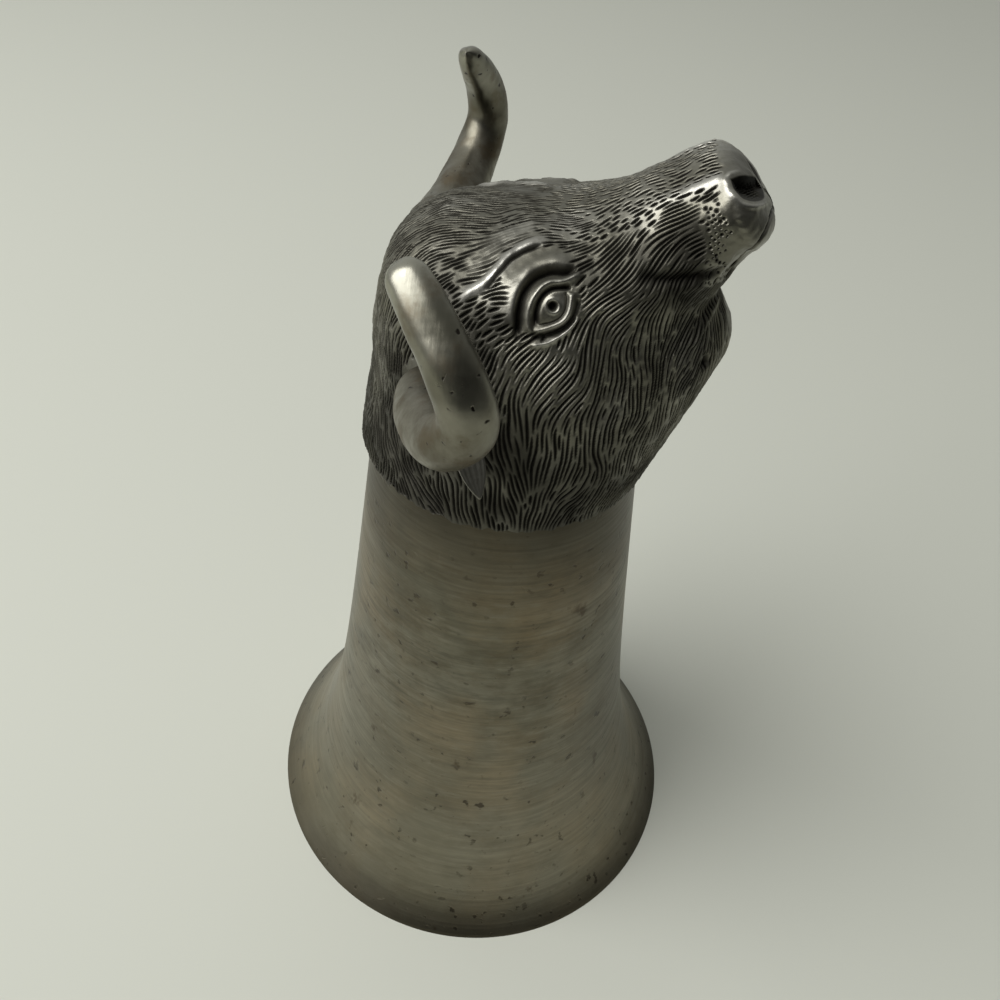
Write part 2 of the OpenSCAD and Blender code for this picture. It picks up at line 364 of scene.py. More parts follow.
def volume(mesh):
    mesh.calc_loop_triangles()
    corners = np.zeros(len(mesh.loop_triangles) * 3, np.int32)
    mesh.loop_triangles.foreach_get("vertices", corners)
    co = np.zeros(len(mesh.vertices) * 3)
    mesh.vertices.foreach_get("co", co)
    a, b, c = co.reshape(-1, 3)[corners.reshape(-1, 3).T]
    return float((a * np.cross(b, c)).sum() / 6)


def settle(piece, node):
    if volume(piece.data) < 0:
        piece.data.flip_normals()
    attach(piece, "root")
    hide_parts(node)
    triangles = sum(len(p.vertices) - 2 for p in piece.data.polygons)
    print(piece.name, triangles, "triangles,", round(volume(piece.data) * 1e9, 1), "cubic mm")


# %% [markdown]
# ## Cup
# The wall follows one rule: a straight taper from the neck plus a curl that grows towards the rim.
# A turned profile could be spun, but a rule keeps its sizes as inputs. A grid is wrapped round the
# axis. Its second direction runs from the rim up to the neck, in at the shoulder, up the plug that
# the head sits over, and in to the middle. The spun wall is a little out of round.

# %% Wall of the cup
rim_r, neck_r, collar_z, seat_depth, cup_wall = 32.0, 15.6, 75.7, 4.0, 1.4
flare_taper, flare_curl, plug_step = 0.5, 0.135, 1.6
cup_turns, cup_steps = 241, 150
wall_end, shoulder_end, plug_end = 0.9, 0.92, 0.95
cup_sizes = {
    "Rim radius": rim_r * MM, "Neck radius": neck_r * MM, "Height": collar_z * MM, "Taper": flare_taper,
    "Curl": flare_curl, "Shoulder": plug_step * MM, "Plug": seat_depth * MM, "Out of round": 0.006,
    "Finish": spun_pewter,
}


def flared_wall(tree, size, up, angle):
    left = minus(tree, 1.0, up)
    fade = calc(tree, "POWER", math.e, calc(tree, "DIVIDE", times(tree, up, -1.0), size["Curl"]))
    last = calc(tree, "POWER", math.e, calc(tree, "DIVIDE", -1.0, size["Curl"]))
    curl = times(tree, minus(tree, fade, last), minus(tree, 1.0, size["Taper"]))
    shape = plus(tree, times(tree, left, size["Taper"]), curl)
    flare = minus(tree, size["Rim radius"], size["Neck radius"])
    wall = calc(tree, "MULTIPLY_ADD", shape, flare, size["Neck radius"])
    sway = calc(tree, "COSINE", calc(tree, "MULTIPLY_ADD", angle, 2.0, 0.9))
    sway = times(tree, sway, times(tree, left, size["Out of round"]))
    return times(tree, wall, plus(tree, 1.0, sway))


def make_cup_tree():
    tree, size, out = new_tree("cup_wall_by_rule", cup_sizes)
    grid = add(tree, "GeometryNodeMeshGrid", Size_X=1.0, Size_Y=1.0, Vertices_X=cup_turns,
               Vertices_Y=cup_steps)
    turn_share, up_share, _ = add(tree, "ShaderNodeSeparateXYZ", Vector=grid.outputs["UV Map"]).outputs
    angle = times(tree, turn_share, 2 * math.pi)
    up = spread(tree, up_share, 0.0, wall_end)
    step = times(tree, spread(tree, up_share, wall_end, shoulder_end), size["Shoulder"])
    end = minus(tree, 1.0, spread(tree, up_share, plug_end, 1.0))
    radius = times(tree, minus(tree, flared_wall(tree, size, up, angle), step), end)
    plug = times(tree, spread(tree, up_share, shoulder_end, plug_end), size["Plug"])
    height = calc(tree, "MULTIPLY_ADD", up, size["Height"], plug)
    x = times(tree, radius, calc(tree, "COSINE", angle))
    y = times(tree, radius, calc(tree, "SINE", angle))
    place = add(tree, "ShaderNodeCombineXYZ", X=x, Y=y, Z=height)
    bent = add(tree, "GeometryNodeSetPosition", Geometry=grid.outputs["Mesh"], Position=place.outputs[0])
    closed = add(tree, "GeometryNodeMergeByDistance", Geometry=bent.outputs[0], Distance=0.01 * MM)
    finish_tree(tree, closed.outputs[0], size["Finish"], out)
    return tree


cup_tree = make_cup_tree()
print("cup rule with", len(cup_tree.nodes), "nodes")

# %% [markdown]
# ## Lip of the cup
# One modifier gives the wall its thickness and another rounds the lip. The wall meets the table at
# a slant, so a thick lip would dip just below it. Its lowest points are pressed flat, as a rim is
# that has stood for years.

# %% Thick wall and lip
lip_round, lip_steps, lip_angle = 0.35, 3, 60.0


def thicken_cup(maker):
    wall = maker.modifiers.new("wall", "SOLIDIFY")
    wall.thickness = cup_wall * MM
    wall.offset = -1.0
    lip = maker.modifiers.new("lip", "BEVEL")
    lip.width = lip_round * MM
    lip.segments = lip_steps
    lip.angle_limit = math.radians(lip_angle)


cup = grow("cup_wall", bpy.data.meshes.new("grid"), cup_tree, cup_sizes, thicken_cup)
cup_points = np.zeros(len(cup.data.vertices) * 3)
cup.data.vertices.foreach_get("co", cup_points)
cup_points[2::3] = np.maximum(cup_points[2::3], 0.0)
cup.data.vertices.foreach_set("co", cup_points)
settle(cup, "cup_bowl")

# %% [markdown]
# ## Smooth lines
# Horns, sections, lids and lips all follow smooth lines that were noted as a few points. A curve
# that passes through its points is easier to measure than one that is only pulled towards them.

# %% Helpers for lines


def through(points, t):
    points = np.asarray(points, float)
    n = len(points) - 1
    s = np.minimum(np.asarray(t, float), 0.99999) * n
    i = np.floor(s).astype(int)
    u = (s - i)[..., None]
    a, b = points[np.maximum(i - 1, 0)], points[i]
    c, d = points[i + 1], points[np.minimum(i + 2, n)]
    return b + 0.5 * u * (c - a + u * (2 * a - 5 * b + 4 * c - d + u * (3 * (b - c) + d - a)))


def unit(v):
    v = np.asarray(v, float)
    return v / np.linalg.norm(v, axis=-1, keepdims=True)


# %% [markdown]
# ## Plan of the head
# The head is a fan of egg-shaped sections from the collar up and forward to the nose. Each row
# gives the throat point and the nape point of one section, its half width and its egg shape. These
# are the construction model's own numbers, so the skin made here lies on its solid.

# %% Sections of the head
collar_r, head_h, muzzle_reach, muzzle_w, cheek_w = 16.8, 36.0, 22.3, 6.6, 15.6


def station(lx, lz, ux, uz, w, egg):
    back = ux * (collar_r if ux < 0 else muzzle_reach)
    return lx * muzzle_reach, collar_z + lz * head_h, back, collar_z + uz * head_h, w, egg


head_line = np.array([
    (collar_r, collar_z, -collar_r, collar_z, collar_r, 0),
    station(0.795, 0.075, -0.965, 0.10, 0.35 * collar_r + 0.65 * cheek_w + 0.6, 0),
    station(0.87, 0.20, -0.90, 0.27, cheek_w + 0.6, 0.05),
    station(0.94, 0.31, -0.895, 0.44, cheek_w, 0.12),
    station(0.985, 0.41, -0.80, 0.605, 0.89 * cheek_w, 0.20),
    station(0.965, 0.50, -0.57, 0.722, 0.765 * cheek_w, 0.26),
    station(0.915, 0.572, -0.18, 0.765, 0.67 * cheek_w, 0.24),
    station(0.905, 0.622, 0.155, 0.792, 0.35 * cheek_w + 0.55 * muzzle_w, 0.16),
    station(0.922, 0.658, 0.38, 0.834, 0.20 * cheek_w + 0.78 * muzzle_w, 0.06),
    station(0.948, 0.69, 0.547, 0.893, 0.07 * cheek_w + 0.95 * muzzle_w, 0),
    station(0.992, 0.725, 0.71, 0.957, muzzle_w, 0),
])


def head_middle(t):
    s = through(head_line, t)
    return np.stack([(s[..., 0] + s[..., 2]) / 2, 0 * s[..., 0], (s[..., 1] + s[..., 3]) / 2], -1)


def head_base(t, degrees):
    t, a = np.broadcast_arrays(np.asarray(t, float), np.radians(degrees))
    s = through(head_line, t)
    half = np.stack([(s[..., 2] - s[..., 0]) / 2, 0 * t, (s[..., 3] - s[..., 1]) / 2], -1)
    p = head_middle(t) - half * np.cos(a)[..., None]
    p[..., 1] += s[..., 4] * np.sin(a) * (1 - s[..., 5] * np.cos(a))
    return p


top_line = head_base(np.linspace(0, 1, 200), 180.0)
top_length = np.linalg.norm(np.diff(top_line, axis=0), axis=1).sum()
print("collar to nose along the top:", round(float(top_length), 1), "mm")

# %% [markdown]
# ## Line of a horn
# Each horn leaves the poll straight out to the side, then bends up and in to a blunt tip. Its line
# starts with a spigot inside the head, then runs through six points like those of the construction
# model. The two horns were bent by hand, so each has its own bend, reach and rise.

# %% Horn lines
horn_root = head_base(0.30, 128.0)
horn_axis = unit([0, 0.97, 0.25])
horn_straight, spigot_depth = 2.4, 2.8
bend_steps, spigot_steps = 121, 14


def horn_points(bend, tip, horn_out, horn_rise, back):
    shares = [(0.1 * bend, 0.42, 0.10), (0.55 * bend, 0.84, 0.255), (bend, 1.0, 0.479),
              (0.7 * bend + 0.15 * tip, 0.92, 0.718), (tip, 0.54, 1.0)]
    line = [horn_root + horn_axis * horn_straight]
    line += [horn_root + np.array([x * horn_out, y * horn_out, z * horn_rise]) for x, y, z in shares]
    line[0] = line[0] - (back, 0, 0)
    line[1] = line[1] - (0.5 * back, 0, 0)
    bent = through(line, np.linspace(0, 1, bend_steps))
    into_head = unit(horn_axis - np.array([0.4 * back, 0, 0]))
    depths = np.linspace(spigot_depth + horn_straight, 0.2, spigot_steps)
    return np.concatenate([line[0] - into_head * depths[:, None], bent])


def horn_curve(points):
    data = bpy.data.curves.new("horn_line", "CURVE")
    data.dimensions = "3D"
    spline = data.splines.new("POLY")
    spline.points.add(len(points) - 1)
    spline.points.foreach_set("co", np.column_stack([points * MM, np.ones(len(points))]).ravel())
    return data


# %% [markdown]
# ## Radius of a horn
# A horn is round, so its shape is its line and a radius along it. The radius is small in the
# spigot, swells at the root, thins by a square root towards the tip and closes in a half round.

# %% Radius of a horn
horn_sizes = {
    "Root radius": 3.1 * MM, "Tip radius": 1.4 * MM, "Crease depth": 0.45 * MM, "Crease turn": 0.30,
    "Root flare": 0.3 * MM, "Dents": 0.22 * MM, "Facets": 0.05 * MM, "Facet turn": 0.05,
    "Finish": horn_pewter,
}


def horn_radius(tree, size, along):
    free = spread(tree, along, 0.13, 1.0)
    thick = calc(tree, "POWER", minus(tree, 1.0, free), 0.5)
    taper = minus(tree, size["Root radius"], size["Tip radius"])
    radius = calc(tree, "MULTIPLY_ADD", thick, taper, size["Tip radius"])
    flare = spread(tree, along, 0.36, 0.12)
    radius = calc(tree, "MULTIPLY_ADD", times(tree, flare, flare), size["Root flare"], radius)
    radius = times(tree, radius, spread(tree, along, 0.0, 0.10, 0.5, 1.0))
    near_tip = spread(tree, along, 0.95, 1.0)
    return times(tree, radius, calc(tree, "SQRT", minus(tree, 1.002, times(tree, near_tip, near_tip))))


# %% [markdown]
# ## Marks on a horn
# A cast and filed skin is never quite round. It has soft dents and faint flats, and the far horn
# has a crease down from its tip. All three are one number: how far the skin goes in or out.

# %% Dents, flats and crease
crease_sharp = -380.0


def horn_push(tree, size, along, around):
    offset = calc(tree, "WRAP", minus(tree, around, size["Crease turn"]), 0.5, -0.5)
    line = calc(tree, "POWER", math.e, times(tree, times(tree, offset, offset), crease_sharp))
    window = times(tree, spread(tree, along, 0.52, 0.72), spread(tree, along, 0.985, 0.9))
    crease = times(tree, times(tree, line, window), size["Crease depth"])
    bumps = add(tree, "ShaderNodeTexNoise", Scale=330.0, Detail=1.0)
    dents = times(tree, minus(tree, bumps.outputs[0], 0.5), size["Dents"])
    side_turn = times(tree, minus(tree, around, size["Facet turn"]), 6 * math.pi)
    facet = times(tree, calc(tree, "COSINE", side_turn), size["Facets"])
    return plus(tree, facet, minus(tree, dents, crease))


# %% [markdown]
# ## Tube of a horn
# A tube that thins along a curve is what Curve to Mesh makes, from a line and a ring. The place
# along the line and round the ring is kept on the points first, because the marks need both.

# %% Horn tree
horn_rings, horn_sides = 170, 64


def keep_number(tree, geometry, number, name):
    keeper = tree.nodes.new("GeometryNodeCaptureAttribute")
    keeper.capture_items.new("FLOAT", name)
    tree.links.new(geometry, keeper.inputs[0])
    tree.links.new(number, keeper.inputs[1])
    return keeper.outputs[0], keeper.outputs[1]


def make_horn_tree():
    tree, size, out = new_tree("horn_along_curve", horn_sizes)
    even = add(tree, "GeometryNodeResampleCurve", Curve=size["Geometry"], Count=horn_rings)
    share = tree.nodes.new("GeometryNodeSplineParameter").outputs["Factor"]
    curve, along = keep_number(tree, even.outputs[0], share, "along")
    ring = add(tree, "GeometryNodeCurvePrimitiveCircle", Resolution=horn_sides, Radius=1.0)
    ring_share = tree.nodes.new("GeometryNodeSplineParameter").outputs["Factor"]
    profile, around = keep_number(tree, ring.outputs[0], ring_share, "around")
    tube = add(tree, "GeometryNodeCurveToMesh", Curve=curve, Profile_Curve=profile,
               Scale=horn_radius(tree, size, share), Fill_Caps=True)
    out_way = add(tree, "ShaderNodeVectorMath", i0=tree.nodes.new("GeometryNodeInputNormal").outputs[0])
    out_way.operation = "SCALE"
    tree.links.new(horn_push(tree, size, along, around), out_way.inputs["Scale"])
    worn = add(tree, "GeometryNodeSetPosition", Geometry=tube.outputs[0], Offset=out_way.outputs[0])
    finish_tree(tree, worn.outputs[0], size["Finish"], out)
    return tree


horn_tree = make_horn_tree()
print("horn tree with", len(horn_tree.nodes), "nodes")

# %% [markdown]
# ## The two horns
# The same tree makes both. The bull's left horn, the far one in the photograph, is thicker at its
# root and comes to a point, and the right one is slimmer and blunt.

# %% Both horns
horn_settings = {
    "left_horn": {"flip": 1.0, "line": (0.17, 0.01, 15.6, 18.7, 1.4), "root": 3.4, "tip": 0.7,
                  "flare": 1.3, "crease": 0.45},
    "right_horn": {"flip": -1.0, "line": (0.30, -0.13, 14.4, 18.8, 0.0), "root": 2.95, "tip": 1.5,
                   "flare": 0.1, "crease": 0.0},
}
for name, horn in horn_settings.items():
    line = horn_points(*horn["line"]) * (1, horn["flip"], 1)
    sizes = {**horn_sizes, "Root radius": horn["root"] * MM, "Tip radius": horn["tip"] * MM,
             "Root flare": horn["flare"] * MM, "Crease depth": horn["crease"] * MM}
    settle(grow(name + "_cast", horn_curve(line), horn_tree, sizes), name)

# %% [markdown]
# ## Fine skin of the head
# The carving is finer than a millimetre, so the skin is a grid with steps of about a tenth of a
# millimetre. It is worked as an array: rows run from the collar to the nose, columns run round.
# Every later step only moves the skin in or out, as a graver and a punch do. The broad swellings
# and hollows come first. Each is a soft bump with a height, a place and a size, made on both sides.

# %% Broad forms
nostril_at = np.array([0.88 * muzzle_reach, 0.62 * muzzle_w, collar_z + 0.945 * head_h])
large_forms = [
    (-0.75, head_base(0.575, 143.0), (6.0, 2.8, 2.4)),            # hollow before the eye
    (-0.35, head_base(0.70, 172.0), (3.5, 5.0, 2.0)),             # dip of the bridge
    (0.38, head_base(0.85, 172.0), (3.5, 5.0, 2.0)),              # rise of the bridge
    (0.35, head_base(0.18, 178.0), (6.0, 9.0, 6.0)),              # nape
    (-0.8, head_base(0.53, 106.0), (4.0, 4.0, 3.0)),              # hollow of the cheek
    (0.7, nostril_at - (3.0, -1.2, 2.6), (3.0, 2.4, 2.2)),        # upper lip
    (-0.6, np.array([0.95 * muzzle_reach, 0.0, collar_z + 0.61 * head_h]), (5.0, 6.0, 1.1)),   # over the chin
    (0.6, np.array([muzzle_reach, 0.0, collar_z + 0.46 * head_h]), (4.0, 5.0, 3.5)),           # chin
    (0.5, head_base(0.43, 196.0) * (1, -1, 1), (6.0, 8.0, 4.0)),  # crown
]
small_forms = [
    (0.6, np.array([21.7, 1.0, 105.4]), (3.0, 4.5, 2.2)),         # front of the lower lip
    (-0.4, np.array([-4.4, 9.0, 101.2]), (1.8, 2.2, 1.8)),        # rear end of the brow
    (-0.85, np.array([21.1, 4.7, 103.2]), (2.6, 4.0, 1.7)),       # side of the lower lip
    (-0.6, np.array([19.3, 5.4, 101.1]), (2.2, 4.0, 1.6)),        # below the mouth's corner
]


def bump_at(p, at, size):
    d = (np.stack([p[..., 0], np.abs(p[..., 1]), p[..., 2]], -1) - at) / size
    return np.exp(-(d * d).sum(-1))


def all_forms(p, forms):
    return sum(height * bump_at(p, at, size) for height, at, size in forms)[..., None]


# %% [markdown]
# ## Laying the skin
# Rows at even steps of the plan would crowd together at the throat, so they are spaced by the mean
# length of three lines over the cheek and the top. The nose is a rounded cap on the last section,
# and the rows where it starts are smoothed, because a casting has no sharp turn there.

# %% Skin before carving
rows_up, rows_nose, columns, part_count = 558, 50, 1296, 9
seam_turn, probe_row = 20.0, 200
nose_tilt, nose_bulge = math.radians(33), 0.40 * muzzle_w
blend_rows, blend_times = 21, 80


def even_rows(count):
    t = np.linspace(0, 1, 1500)
    path = np.zeros_like(t)
    for degrees in (100.0, 140.0, 180.0):
        steps = np.linalg.norm(np.diff(head_base(t, degrees), axis=0), axis=1)
        path[1:] += np.cumsum(steps) / steps.sum()
    return np.interp(np.linspace(0, path[-1], count), path, t)


def plain_skin():
    p = head_base(row_place[:, None], column_turn[None])
    p = p + unit(p - head_middle(row_place)[:, None]) * all_forms(p, large_forms)
    nose_middle = head_middle(np.array(1.0))
    nose_way = np.array([math.cos(nose_tilt), 0, math.sin(nose_tilt)])
    f = np.radians(90.0 * np.arange(1, rows_nose + 1) / (rows_nose + 0.6))[:, None, None]
    nose = nose_middle + (p[-1] - nose_middle) * np.cos(f) ** 0.8 + nose_way * (nose_bulge * np.sin(f))
    return np.concatenate([p, nose]), nose_middle + nose_way * nose_bulge


def smooth_rows(p, first, last):
    for _ in range(blend_times):
        p[first:last] = 0.5 * p[first:last] + 0.25 * (p[first - 1:last - 1] + p[first + 1:last + 1])
    return p


def skin_normals(p):
    up = np.gradient(p, axis=0)
    around = np.roll(p, -1, 1) - np.roll(p, 1, 1)
    return unit(np.cross(around, up))


row_place = even_rows(rows_up)
column_turn = 360.0 * np.arange(columns) / columns - seam_turn
skin, nose_tip = plain_skin()
skin = smooth_rows(skin, rows_up - blend_rows, rows_up + blend_rows)
rows = len(skin)
normals = skin_normals(skin)
probe_out = skin[probe_row, 0] - head_middle(row_place[probe_row])
outward = 1.0 if (normals[probe_row, 0] * probe_out).sum() > 0 else -1.0
skin = skin + outward * normals * all_forms(skin, small_forms)
normals = outward * skin_normals(skin)
row_t = np.concatenate([row_place, np.ones(rows_nose)])
print("skin:", rows, "rows,", columns, "columns")

# %% [markdown]
# ## Carving along lines
# Lids, brows, creases and lips are ridges and grooves along lines. A helper finds how far every
# point is from a smooth line and how far along it that is. A ridge is a soft bump across the line
# that runs out at both ends.

# %% Helpers for carving


def smooth_line(points, steps=14):
    return through(points, np.linspace(0, 1, steps * (len(points) - 1) + 1))


def gap_to_line(p, line):
    best = np.full(len(p), 1e9)
    share = np.zeros(len(p))
    for k, (a, b) in enumerate(zip(line[:-1], line[1:])):
        s = np.clip(((p - a) @ (b - a)) / ((b - a) @ (b - a)), 0, 1)
        d = np.linalg.norm(p - a - s[:, None] * (b - a), axis=1)
        near = d < best
        best[near] = d[near]
        share[near] = (k + s[near]) / (len(line) - 1)
    return best, share


def ease(x, low, high):
    x = np.clip((x - low) / (high - low), 0, 1)
    return x * x * (3 - 2 * x)


def ridge(p, points, half, start, stop):
    gap, share = gap_to_line(p, smooth_line(np.asarray(points, float)))
    ends = ease(share, -0.01, start) * ease(1 - share, -0.01, stop)
    return np.exp(-(gap / half) ** 2) * ends


# %% [markdown]
# ## What a cut leaves behind
# A cut does more than move the skin. Black stays in a groove, a ridge is rubbed bright, and no fur
# is engraved on a lid or a lip. So each line of the tables below has its half width, its height and
# three amounts: grime, wear and bare. The head is carved on one side, and the other is its mirror.

# %% Helpers for marks
lift, grime_and_shade, wear, bare, faint = np.zeros((5, rows, columns))
pushed = np.zeros((rows, columns, 3))
soft_edges = {"fold": 1.5, "nose ridge": 2}
slow_starts = {"nose ridge": 0.6}


def carve_lines(p, lines, start, stop):
    shapes, height, marks = {}, np.zeros(len(p)), np.zeros((3, len(p)))
    for name, (half, up, (dark, shine, smooth), points) in lines.items():
        shape = ridge(p, points, half, slow_starts.get(name, start), stop)
        height += up * shape
        marks = np.maximum(marks, [dark * shape, shine * shape, smooth * shape ** soft_edges.get(name, 1)])
        shapes[name] = shape
    return shapes, height, marks


def carve_both_sides(carve, within):
    for side in (1.0, -1.0):
        flip = np.array([1.0, side, 1.0])
        mirrored = skin * flip
        near = within(mirrored)
        height, dark, shine, smooth, thin, push = carve(mirrored[near])
        lift[near] += height
        marks = (grime_and_shade, np.clip(dark, 0, 1)), (wear, shine), (bare, np.clip(smooth, 0, 1)), (faint, thin)
        for kept, new in marks:
            kept[near] = np.maximum(kept[near], new)
        pushed[near] -= push * flip


# %% [markdown]
# ## Eyes
# Seen square on, the eye is an almond that leans forward, with a rolled upper lid under a deep
# crease, a thick lower lid, a bag and a sharp brow. Its lines are drawn in millimetres on a flat
# plan through the pupil, forward and up. The other eye is the mirror image, so the plan is used twice.

# %% Lines of the eye
eye_place = np.array([2.66, 10.98, 99.95])
eye_out = unit([-0.0564, 0.8324, 0.5514])
eye_ahead = unit([0.9946, -0.0011, 0.1034])
eye_up = np.cross(eye_ahead, eye_out)
eye_lines = {
    "crease": (0.32, -0.72, (1.0, 0.0, 1.4), [
        (-3.16, -3.13), (-3.07, -1.69), (-2.99, -0.36), (-2.54, 1.24), (-1.56, 2.47), (-0.22, 3.08),
        (1.13, 3.07), (2.29, 3.33)]),
    "upper lid": (0.34, 0.42, (0.0, 0.4, 1.2), [
        (-1.7, -2.77), (-2.16, -1.69), (-2.17, -0.36), (-1.81, 0.62), (-1.01, 1.59), (-0.11, 2.03),
        (0.96, 2.11), (1.85, 2.46), (2.74, 2.98)]),
    "lid line": (0.20, -0.48, (1.0, 0.0, 0.0), [
        (-1.43, -1.87), (-1.44, -0.53), (-1.0, 0.71), (-0.11, 1.41), (0.88, 1.59), (1.78, 1.67)]),
    "lower lid": (0.33, 0.40, (0.0, 0.35, 0.0), [
        (-1.75, -2.25), (-1.0, -2.15), (-0.19, -1.94), (0.93, -1.39), (1.55, -0.45), (1.78, 0.6),
        (1.72, 1.3)]),
    "ball line": (0.13, -0.18, (0.6, 0.0, 0.0), [
        (-1.3, -1.75), (-0.15, -1.50), (0.7, -1.03), (1.20, -0.3), (1.36, 0.6), (1.2, 1.25)]),
    "lower line": (0.22, -0.32, (0.7, 0.0, 0.0), [
        (-1.9, -2.85), (-0.8, -2.68), (0.37, -2.31), (1.3, -1.75), (1.95, -1.0), (2.3, -0.1),
        (2.42, 0.7)]),
    "bag": (0.24, 0.28, (0.0, 0.6, 1.6), [
        (-1.97, -3.6), (-1.0, -3.45), (-0.19, -3.24), (1.11, -2.5), (1.9, -1.75), (2.45, -1.0)]),
    "fold": (0.80, 0.34, (0.0, 0.25, 1.2), [
        (-3.71, -2.14), (-3.53, -0.53), (-3.35, 0.8), (-2.82, 2.2), (-1.48, 3.51), (0.31, 3.95),
        (2.01, 3.68)]),
    "brow groove": (0.13, -0.26, (0.85, 0.0, 1.6), [
        (-6.2, 1.25), (-5.3, 2.3), (-4.5, 3.25), (-3.8, 4.05), (-2.9, 4.65), (-2.1, 5.0), (-0.9, 5.5)]),
    "brow": (0.50, 0.34, (0.0, 1.0, 1.2), [
        (-8.7, 0.3), (-7.4, 1.25), (-6.4, 1.9), (-5.54, 2.65), (-4.6, 3.78), (-3.87, 4.52),
        (-3.0, 5.1), (-2.0, 5.54), (0.0, 6.2)]),
    "above brow": (1.2, 0.0, (0.0, 0.2, 0.0), [
        (-8.0, 2.9), (-6.4, 4.4), (-5.0, 5.9), (-3.4, 6.9), (-1.4, 7.6)]),
    "lid plane": (0.6, 0.0, (0.0, 0.0, 1.4), [
        (-4.3, 1.6), (-3.6, 3.0), (-2.4, 4.1), (-0.8, 4.7), (1.2, 4.6)]),
}
print(len(eye_lines), "lines for an eye")

# %% [markdown]
# ## Eyeball and pupil
# Between the lids the ball bulges, with a raised ring and a drilled pupil. Above the brow the fur
# is engraved more faintly.

# %% Carve the eyes
ball_r, ring_r, ring_half, pupil_r, eye_reach = 1.9, 0.62, 0.17, 0.36, 9.5


def carve_eye(p):
    q = np.column_stack([(p - eye_place) @ eye_ahead, (p - eye_place) @ eye_up])
    shapes, height, (dark, shine, smooth) = carve_lines(q, eye_lines, 0.12, 0.12)
    r = np.linalg.norm(q, axis=1)
    ball = np.exp(-(r / ball_r) ** 4)
    height += 0.55 * ball + 0.10 * np.exp(-((r - ring_r) / ring_half) ** 2)
    height -= 0.55 * np.exp(-(r / pupil_r) ** 4)
    dark = np.maximum(dark, np.exp(-(r / 0.40) ** 6))
    shine = np.maximum(shine, 0.15 * ball)
    smooth = np.maximum(smooth, np.exp(-(r / 2.9) ** 6))
    return height, dark, shine, smooth, shapes["above brow"], 0.0


carve_both_sides(carve_eye, lambda p: np.linalg.norm(p - eye_place, axis=-1) < eye_reach)
print("eyes: lift from", round(lift.min(), 2), "to", round(lift.max(), 2), "mm")

# %% [markdown]
# ## Nostrils
# A nostril is a short slanting hole with a rolled rim. Its outline is drawn on a plan that faces
# it, and the skin inside is pushed in, so no hole has to be cut. Its walls are painted black as
# shade, and the floor is rough as cast, with specks, and painted lighter where light falls on it.

# %% Shape of a nostril
nostril_middle = np.array([19.15, 3.9, 109.1])
nostril_way = unit([0.15, 0.72, 0.68])
nostril_right, nostril_up = unit([0.97, 0.17, 0.18]), unit([-0.09, -0.45, 0.89])
nostril_outline = [(-1.65, 0.73), (-0.81, 1.06), (0.39, 1.06), (1.10, 0.62), (1.27, 0.0), (1.24, -0.8),
                   (0.4, -1.05), (-0.49, -0.8), (-1.24, -0.12), (-1.65, 0.73)]
nostril_depth, nostril_reach, far_outside = 1.45, 4.5, -9.0


def inside_gap(q, outline):
    inside = np.zeros(len(q), bool)
    for a, b in zip(outline[:-1], outline[1:]):
        if a[1] != b[1]:
            crosses = (a[1] > q[:, 1]) != (b[1] > q[:, 1])
            inside ^= crosses & (q[:, 0] < (b[0] - a[0]) * (q[:, 1] - a[1]) / (b[1] - a[1]) + a[0])
    gap = gap_to_line(q, outline)[0]
    return np.where(inside, gap, -gap)


def nostril_shape(p):
    from_hole = p - nostril_middle
    q = np.column_stack([from_hole @ nostril_right, from_hole @ nostril_up])
    beside = np.linalg.norm(from_hole, axis=1)
    near = (beside < nostril_reach) & (p[:, 1] > 0.4)
    gap = np.where(near, inside_gap(q, smooth_line(nostril_outline, 6)), far_outside)
    inside = ease(gap, -0.08, 0.08)
    low_left = ease(-q[:, 0] - q[:, 1], -1.0, 0.6)
    rim = np.exp(-((gap + 0.42) / 0.26) ** 2) * (0.1 + 0.9 * low_left)
    specks = np.sin(17.0 * p[:, 0]) * np.sin(15.0 * p[:, 1] + 1.0) * np.sin(16.0 * p[:, 2])
    specks = specks * ease(gap, 0.2, 0.7)
    # Painted light and shade: the lower floor of the hole is lighter, and the rest of the hole stays black.
    painted_lit_floor = ease(-q[:, 1] + 0.4 * q[:, 0], -0.5, 0.5)
    dark = inside * (1.0 - painted_lit_floor * (0.15 + 0.5 * np.clip(specks, 0, 1)))
    height = 0.25 * np.exp(-(beside / 2.9) ** 2) + 0.17 * rim + 0.2 * inside * specks
    return height, dark, rim, inside, ease(gap, -0.12, 0.95)


# %% [markdown]
# ## Nose, lips and chin
# The nose pad is smooth and its edge to the fur wavers. The upper lip overhangs the jaw in a
# crease, and the mouth is a fine line that runs round the front. The chin is rubbed, so its fur is
# faint, and a casting pit was left on the jaw behind it.

